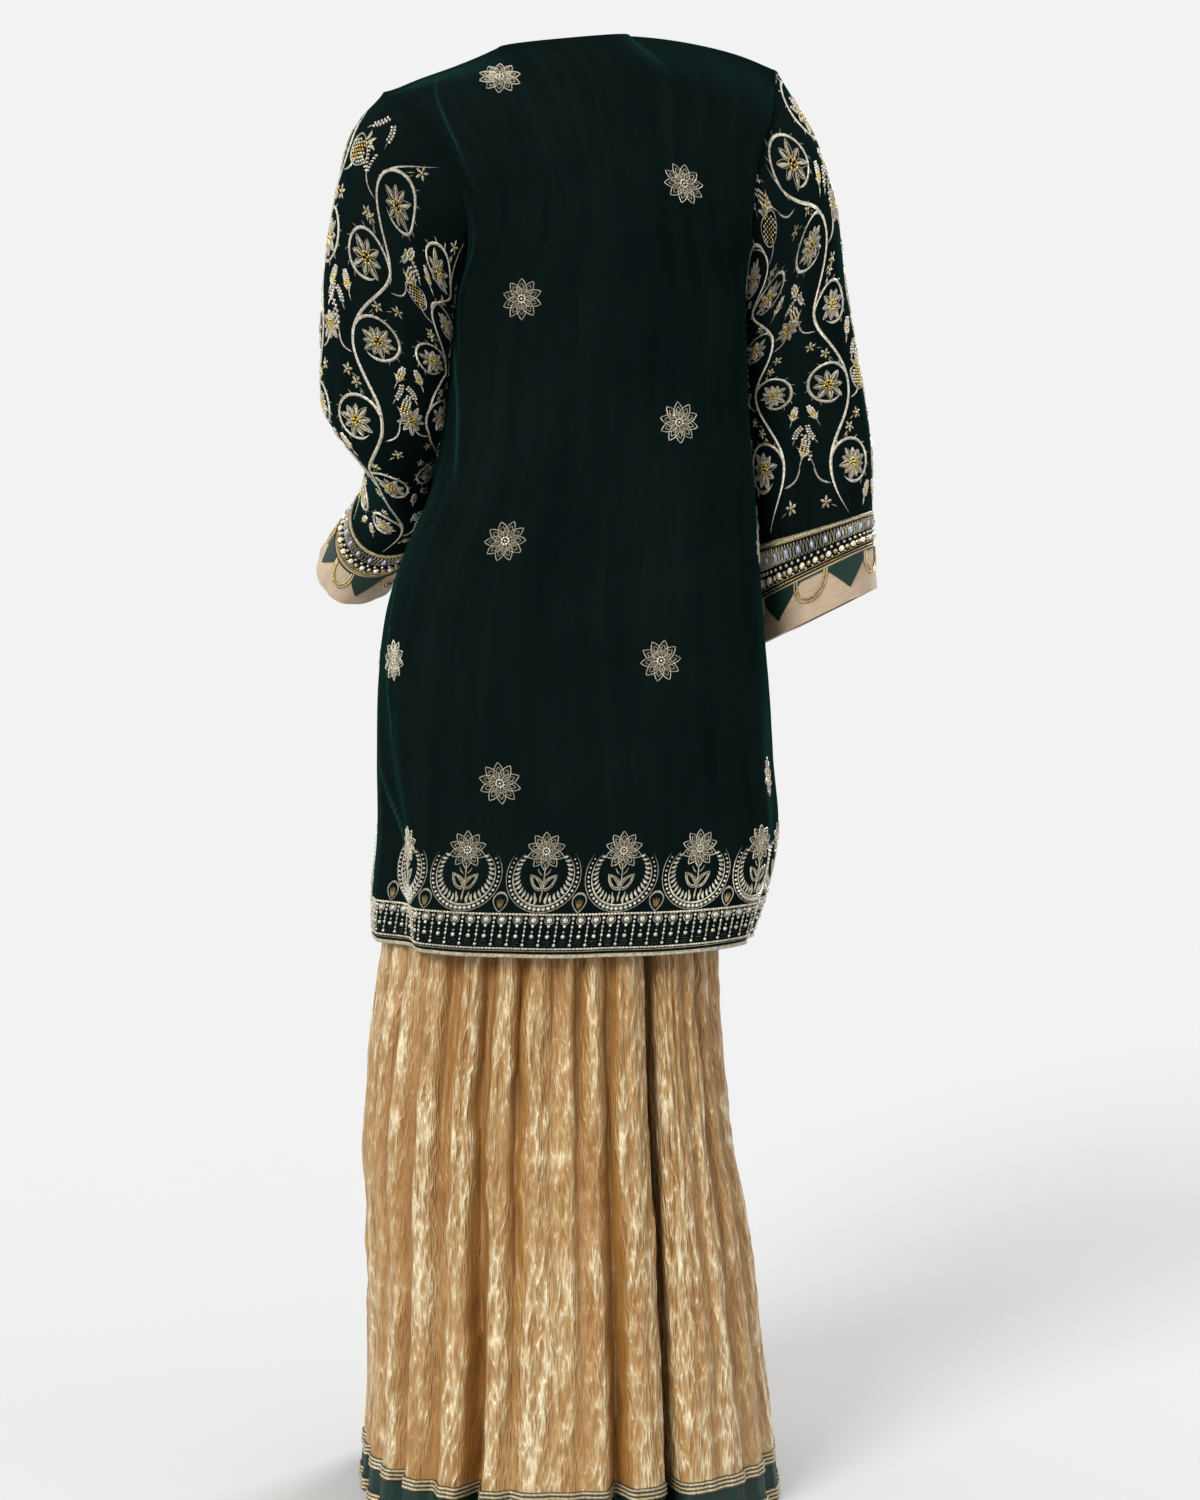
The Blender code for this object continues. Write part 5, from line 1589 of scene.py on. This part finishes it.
def bulb(size):
    """A bulb: a heart-shaped outline filled with beads, with three pointed leaves over it."""
    made = Motif()
    t = np.linspace(0, 2 * np.pi, 22, endpoint=False)
    made.stroke(np.stack([size * 0.95 * np.sin(t), size * (0.85 * np.cos(t) - 0.18 * np.cos(2 * t))], axis=1),
                0.0016, 0.0012, SILVER, True)
    step = 0.25 * size
    i, j = np.meshgrid(np.arange(-4, 5), np.arange(-4, 5))
    spots = np.stack([(i + 0.5 * (j % 2)) * step, j * step * 0.87 - 0.1 * size], axis=-1).reshape(-1, 2)
    inside = np.hypot(spots[:, 0] / 0.95, (spots[:, 1] + 0.1 * size) / 0.85) < 0.84 * size
    core = np.abs(spots[:, 0]) < 0.3 * size
    made.beads(spots[inside & ~core], 0.11 * size, 0.0018, STONE)
    made.beads(spots[inside & core], 0.11 * size, 0.0022, YELLOW)
    for side in (-1, 0, 1):
        tip = (side * 0.75 * size, (1.5 - 0.3 * abs(side)) * size)
        made.spike((side * 0.25 * size, 0.6 * size), tip, side * 0.2, 7, 0.36 * size, 0.0013, PALE)
    return made


def berries(length):
    """A sprig: small beads on alternate sides of a thin stem that bows a little."""
    made = Motif()
    path = leaf((0, 0), (0.12 * length, length), 0.10, 12)
    made.stroke(path, 0.0012, 0.0009, SILVER)
    for k, spot in enumerate(path[1:]):
        made.beads([spot + ((0.0017 if k % 2 else -0.0017), 0.0)], 0.0014, 0.0018, STONE if k % 3 else SILVER)
    made.stroke([(0, -0.35 * length), (0, -0.1 * length), (0, 0.1 * length)], 0.0015, 0.0010, SILVER)
    return made


def feathers(made, path, out):
    """Short slanted stitches along one side of a path."""
    ahead = np.gradient(path, axis=0)
    ahead /= np.linalg.norm(ahead, axis=1, keepdims=True)
    for k in range(2, len(path) - 2, 2):
        side = out * np.array([-ahead[k, 1], ahead[k, 0]])
        tip = path[k] + side * 0.0048 + ahead[k] * 0.0034
        made.spike(path[k], tip, 0.1, 4, 0.0013, 0.0009, PALE)


def scroll(side, centre):
    """A branch that leaves a stem on its left and curls once about a flower, feathered outside.

    Its radius shrinks as it turns. side -1 is the mirrored scroll."""
    made = Motif()
    t = np.linspace(0, 1, 26)
    angle, radius = np.radians(200 - 335 * t), SCROLL * (1.16 - 0.46 * t)
    path = np.stack([radius * np.cos(angle) * side, radius * np.sin(angle)], axis=1)
    made.stroke(path, STEM_WIDE, STEM_HIGH, SILVER)
    feathers(made, path[3:22], side)
    made.add(centre)
    return made


def sway(y, lap, share, first):
    """How far across a stem lies at these heights: its share of the sleeve's width, and its wave."""
    room = np.interp(y, *lap)
    fit = np.clip(room / CREEPER_LAP, *TAPER)
    return share * room - first * WAVE_OUT * np.sin(np.pi * (y - CREEPER_FROM) / HALF_WAVE) * fit, fit


def creeper(work, top):
    """The sleeve's stems, and in each half wave its scroll, sprig, small flowers and leaves."""
    lap = (work.chart.ups, work.chart.laps)
    middles = [filled_flower(SCROLL * share, count) for share, count in SCROLL_FLOWERS]
    sprigs = {"bud": bud(0.026), "heap": bead_heap(0.0105), "flower": filled_flower(0.0145, 9),
              "berries": berries(0.026), "bulb": bulb(0.0125)}
    little = small_flower(0.0060)
    for stem in range(CREEPER_STEMS):
        share, first = (stem + 0.5) / CREEPER_STEMS - 0.5, 1 if stem % 2 else -1
        y = np.linspace(CREEPER_FROM - STEM_FOOT, top, STEM_POINTS)
        x, _ = sway(y, lap, share, first)
        work.stroke(np.stack([x, y], axis=1), STEM_WIDE, STEM_HIGH, SILVER)
        for k in range(int((top - CREEPER_FROM) / HALF_WAVE + 0.45)):
            side = first * (-1) ** k
            y = CREEPER_FROM + (k + 0.5) * HALF_WAVE
            (x,), (fit,) = sway(np.array([y]), lap, share, first)

            def put(motif, across, up, turn=0.0, size=1.0):
                work.place(motif, x + side * across * fit, y + up * fit, turn * side, size * fit)

            put(scroll(side, middles[(stem + k) % 3]), 1.10 * SCROLL, 0.0, 0.0)
            kind = SPRIGS[(3 * stem + k) % len(SPRIGS)]
            put(sprigs[kind], -0.0175, 0.004, 0.35 if kind in ("bud", "berries") else 0.1 * k)
            twig = leaf((0.0, -0.016), (-0.0165, -0.001), 0.18, 8) * (side, 1) * fit + (x, y)
            work.stroke(twig, 0.0020, 0.0011, SILVER)
            put(little, -0.006, -0.031, 1.1)
            put(little, 0.024, 0.034, -0.7)
            put(berries(0.017), -0.0130, 0.024, 0.5, 0.9)
            put(sprigs["bud"], 0.040, -0.036, -0.4, 0.72)


def cuff_border(stitching, length):
    """The jewelled border at a sleeve's end: two beaded braids, stones, pearls and looped dashes."""
    ring = np.linspace(-length / 2, length / 2, RING_POINTS)
    for up, width in ((0.0014, 0.0016), (0.0040, 0.0012), (0.0300, 0.0018), (0.0325, 0.0012)):
        stitching.stroke(row_at(ring, up), width, 0.0012, GOLD)
    count = int(round(length / PEARL_PITCH / 2)) * 2
    x = spread(count, length)
    between = x + length / count / 2
    for places, up, radius, high, thread in (
        (x[::2], 0.0086, 0.0031, 0.0034, PEARL),
        (x[1::2], 0.0086, 0.0028, 0.0026, CABOCHON),
        (between, 0.0140, 0.0016, 0.0020, STONE),
        (between, 0.0055, 0.0010, 0.0014, SILVER),
    ):
        stitching.beads(row_at(places, up), radius, high, thread)
    many = count * 2
    for k, place in enumerate(spread(many, length)):
        if k % 4 == 0:
            stitching.beads(np.array([[place, 0.0222]]), 0.0019, 0.0026, CRYSTAL, 1.9)
        loop = petal(0.0168, 0.0282, 0.0013, 10) + (place, 0.0)
        stitching.stroke(loop, 0.0009, 0.0011, SILVER if k % 2 else PALE, True)
    stitching.beads(row_at(spread(many * 2, length), 0.0313), 0.0009, 0.0015, SILVER)


def scattered(chart, radius):
    """The places of the scattered flowers that lie whole on a panel."""
    for n, x in enumerate(BUTI_COLUMNS):
        for k in range(4):
            y = BUTI_FIRST + (k + n % 2 / 2) * BUTI_REPEAT
            half = np.interp(y, chart.ups, chart.halves)
            if abs(x) + radius < half and y + radius < chart.ups[-1]:
                yield x, y


def make_kurta_embroidery(settings):
    """Scattered flowers and a hem border of crescents over lace, on both panels."""
    u = np.linspace(-1, 1, PANEL_COLUMNS + 1)
    v = np.linspace(0, 1, PANEL_ROWS + 1)
    flower, moon, drop = looped_flower(settings.flower_radius), crescent(), teardrop()
    for panel, sign in PANELS:
        outer = kurta_surface(panel, u, v)
        chart = Chart(outer, normals(outer, sign), PANEL_COLUMNS // 2, PANEL_COLUMNS // 2)
        work = Stitching(chart)
        for x, y in scattered(chart, settings.flower_radius):
            work.place(flower, x, y, FLOWER_TURN * (x + y))
        low, high = (chart_edge(outer, k) for k in (0, -1))
        lace_band(work, low + LACE_ROOM, high - LACE_ROOM)
        for x in CRESCENT_MIDDLE[panel] + np.arange(-5, 6) * CRESCENT_PITCH:
            if low + CRESCENT_ROOM < x < high - CRESCENT_ROOM:
                work.place(moon, x, CRESCENT_UP)
            if low + DROP_ROOM < x + CRESCENT_PITCH / 2 < high - DROP_ROOM:
                work.place(drop, x + CRESCENT_PITCH / 2, DROP_UP)
        piece = work.made(f"kurta_{panel}_zari")


def chart_edge(outer, column):
    """How far across from the middle column an edge of a panel lies at its hem."""
    lengths = run_of(outer[0])
    return lengths[column] - lengths[len(lengths) // 2]


def make_sleeve_embroidery(settings):
    """A creeper all round each sleeve, and a jewelled border at its end."""
    w = np.linspace(0, 1, SLEEVE_COLUMNS, endpoint=False)
    v = np.linspace(0, 1, SLEEVE_ROWS + 1)
    for side, name in SIDES:
        outer = sleeve_surface(side, w, v)
        normal = normals(outer, side, ring=True)
        chart = Chart(outer[::-1], normal[::-1], SLEEVE_COLUMNS // 2, SLEEVE_COLUMNS * 3 // 8, ring=True)
        work = Stitching(chart)
        creeper(work, chart.ups[-1] - CREEPER_END)
        cuff_border(work, chart.laps[0])
        piece = work.made(f"sleeve_{name}_zari")


def make_cuff_cords(settings):
    """Double gold cords looped down the cuff bands between the points."""
    w = np.linspace(0, 1, CUFF_COLUMNS, endpoint=False)
    for side, name in SIDES:
        band = cuff_surface(side, w, np.linspace(CUFF_SEAM, CUFF_BAND, CUFF_ROWS))
        normal = normals(band, side, ring=True)
        chart = Chart(band[::-1], normal[::-1], 0, 0, ring=True)
        work = Stitching(chart)
        lap, high = chart.laps[-1], chart.ups[-1]
        t = np.linspace(0, np.pi, 22)
        for k in range(CUFF_REPEATS):
            for half, deep in CORD_LOOPS:
                share = min(1.0, lap / FULL_CUFF)
                x = k * lap / CUFF_REPEATS - half * share * np.cos(t)
                y = high - CORD_DROP - deep * np.sin(t) ** 0.8
                work.cord(np.stack([x, y], axis=1), CORD_RADIUS, CORD_RADIUS * 0.8, GOLD)
        piece = work.made(f"cuff_cords_{name}")


# ---------------------------------------------------------------- the add-on


class KurtaSettings(bpy.types.PropertyGroup):
    """The velvet's colour, the scattered flowers and the flat sizes of the kurta's cloth"""

    velvet: bpy.props.FloatVectorProperty(
        name="Velvet", description="Colour of the velvet seen face on", subtype="COLOR", size=3,
        min=0.0, max=1.0, default=(0.0026, 0.0054, 0.0052))
    flower_radius: bpy.props.FloatProperty(
        name="Scattered flower", description="Reach of a scattered flower's petals", default=0.0195,
        min=0.005, unit="LENGTH")
    panel_area: bpy.props.FloatProperty(
        name="Panel area", description="Flat area of one panel in square metres", default=0.45, min=0.1)
    sleeve_area: bpy.props.FloatProperty(
        name="Sleeve area", description="Flat area of one sleeve in square metres", default=0.18, min=0.05)
    cuff_lengths: bpy.props.FloatVectorProperty(
        name="Cuff bands", description="Lengths of the left and right cuff bands",
        subtype="XYZ_LENGTH", size=2, default=(0.30, 0.43))


class TrouserSettings(bpy.types.PropertyGroup):
    """The tissue's colour and the flat sizes of the trousers' cloth"""

    tissue: bpy.props.FloatVectorProperty(
        name="Tissue", description="Colour of the tissue between crest and valley", subtype="COLOR", size=3,
        min=0.0, max=1.0, default=(0.325, 0.185, 0.062))
    leg_widths: bpy.props.FloatVectorProperty(
        name="Leg hems", description="Flat width of the left and right leg's cloth at the hem",
        subtype="XYZ_LENGTH", size=2, default=(1.30, 1.06))
    leg_long: bpy.props.FloatProperty(
        name="Leg length", description="Flat length of a leg's cloth", default=0.98, unit="LENGTH")
    leg_areas: bpy.props.FloatVectorProperty(
        name="Leg areas", description="Flat area of the left and right leg's cloth in square metres", size=2,
        default=(1.14, 0.92))
    band_lengths: bpy.props.FloatVectorProperty(
        name="Hem bands", description="Lengths of the left and right hem bands", subtype="XYZ_LENGTH", size=2,
        default=(1.60, 1.30))


class StageSettings(bpy.types.PropertyGroup):
    """The floor, the sky, the suns and the lens"""

    floor_half: bpy.props.FloatProperty(
        name="Floor", description="Half the width of the floor", default=14.0, min=2.0, unit="LENGTH")
    floor_colour: bpy.props.FloatVectorProperty(
        name="Floor colour", description="Colour of the floor", subtype="COLOR", size=3, min=0.0, max=1.0,
        default=(0.468, 0.468, 0.468))
    sky: bpy.props.FloatVectorProperty(
        name="Sky", description="Colour of the light from all round", subtype="COLOR", size=3, min=0.0,
        max=1.0, default=(0.888, 0.888, 0.888))
    key_power: bpy.props.FloatProperty(
        name="Key light", description="Strength of the key suns", default=3.0, min=0.0)
    side_power: bpy.props.FloatProperty(
        name="Side light", description="Strength of the side suns", default=0.3, min=0.0)
    softness: bpy.props.FloatProperty(
        name="Softness", description="Width of the suns in the sky", default=0.44, min=0.0, unit="ROTATION")
    lens: bpy.props.FloatProperty(
        name="Lens", description="Focal length of the camera", default=68.54, min=10.0, unit="CAMERA")


class SUIT_OT_finishes(bpy.types.Operator):
    """Make the cloth, thread and bead materials"""

    bl_idname = "suit.finishes"
    bl_label = "Finishes"

    def execute(self, context):
        velvet_material(context.scene.suit_kurta)
        tissue_material(context.scene.suit_trousers)
        silk_material("cream raw silk", (0.37, 0.28, 0.19), 0.45, 0.1)
        silk_material("green raw silk", (0.0030, 0.019, 0.013), 0.55, 0.0)
        for metal in METALS:
            metal_material(*metal)
        return {"FINISHED"}


class SUIT_OT_kurta(bpy.types.Operator):
    """Make the two velvet panels and their hem pipings"""

    bl_idname = "suit.kurta"
    bl_label = "Kurta"

    def execute(self, context):
        make_kurta()
        return {"FINISHED"}


class SUIT_OT_sleeves(bpy.types.Operator):
    """Make the two velvet sleeves"""

    bl_idname = "suit.sleeves"
    bl_label = "Sleeves"

    def execute(self, context):
        make_sleeves()
        return {"FINISHED"}


class SUIT_OT_cuffs(bpy.types.Operator):
    """Make the silk cuff bands and their points"""

    bl_idname = "suit.cuffs"
    bl_label = "Cuffs"

    def execute(self, context):
        make_cuffs()
        return {"FINISHED"}


class SUIT_OT_kurta_embroidery(bpy.types.Operator):
    """Stitch the panels' flowers and hem border"""

    bl_idname = "suit.kurta_embroidery"
    bl_label = "Kurta embroidery"

    def execute(self, context):
        make_kurta_embroidery(context.scene.suit_kurta)
        return {"FINISHED"}


class SUIT_OT_sleeve_embroidery(bpy.types.Operator):
    """Stitch the sleeves' creeper and jewelled borders"""

    bl_idname = "suit.sleeve_embroidery"
    bl_label = "Sleeve embroidery"

    def execute(self, context):
        make_sleeve_embroidery(context.scene.suit_kurta)
        return {"FINISHED"}


class SUIT_OT_cuff_cords(bpy.types.Operator):
    """Lay the looped cords on the cuff bands"""

    bl_idname = "suit.cuff_cords"
    bl_label = "Cuff cords"

    def execute(self, context):
        make_cuff_cords(context.scene.suit_kurta)
        return {"FINISHED"}


class SUIT_OT_trousers(bpy.types.Operator):
    """Make the gathered legs, their hem bands and braids, and the waistband"""

    bl_idname = "suit.trousers"
    bl_label = "Trousers"

    def execute(self, context):
        make_trousers(context.scene.suit_trousers)
        return {"FINISHED"}


class SUIT_OT_stage(bpy.types.Operator):
    """Make the floor, the lights and the camera"""

    bl_idname = "suit.stage"
    bl_label = "Stage"

    def execute(self, context):
        make_stage(context.scene.suit_stage)
        return {"FINISHED"}


OPERATORS = (
    SUIT_OT_finishes, SUIT_OT_kurta, SUIT_OT_kurta_embroidery, SUIT_OT_sleeves, SUIT_OT_sleeve_embroidery,
    SUIT_OT_cuffs, SUIT_OT_cuff_cords, SUIT_OT_trousers, SUIT_OT_stage,
)


class SUIT_PT_pieces(bpy.types.Panel):
    """Lists the pieces of the suit"""

    bl_idname = "SUIT_PT_pieces"
    bl_label = "Salwar suit"
    bl_space_type = "VIEW_3D"
    bl_region_type = "UI"
    bl_category = "Salwar suit"

    def draw(self, context):
        for operator in OPERATORS:
            self.layout.operator(operator.bl_idname)
        for settings in (context.scene.suit_kurta, context.scene.suit_trousers, context.scene.suit_stage):
            box = self.layout.box()
            for key in settings.__annotations__:
                box.prop(settings, key)


CLASSES = (KurtaSettings, TrouserSettings, StageSettings, *OPERATORS, SUIT_PT_pieces)


def register():
    for each in CLASSES:
        bpy.utils.register_class(each)
    bpy.types.Scene.suit_kurta = bpy.props.PointerProperty(type=KurtaSettings)
    bpy.types.Scene.suit_trousers = bpy.props.PointerProperty(type=TrouserSettings)
    bpy.types.Scene.suit_stage = bpy.props.PointerProperty(type=StageSettings)


def unregister():
    for name in ("suit_kurta", "suit_trousers", "suit_stage"):
        delattr(bpy.types.Scene, name)
    for each in reversed(CLASSES):
        bpy.utils.unregister_class(each)


def main():
    """Makes every piece and the stage through the operators."""
    register()
    bpy.ops.suit.finishes()
    bpy.ops.suit.kurta()
    bpy.ops.suit.kurta_embroidery()
    bpy.ops.suit.sleeves()
    bpy.ops.suit.sleeve_embroidery()
    bpy.ops.suit.cuffs()
    bpy.ops.suit.cuff_cords()
    bpy.ops.suit.trousers()
    bpy.ops.suit.stage()


if __name__ == "__main__":
    main()
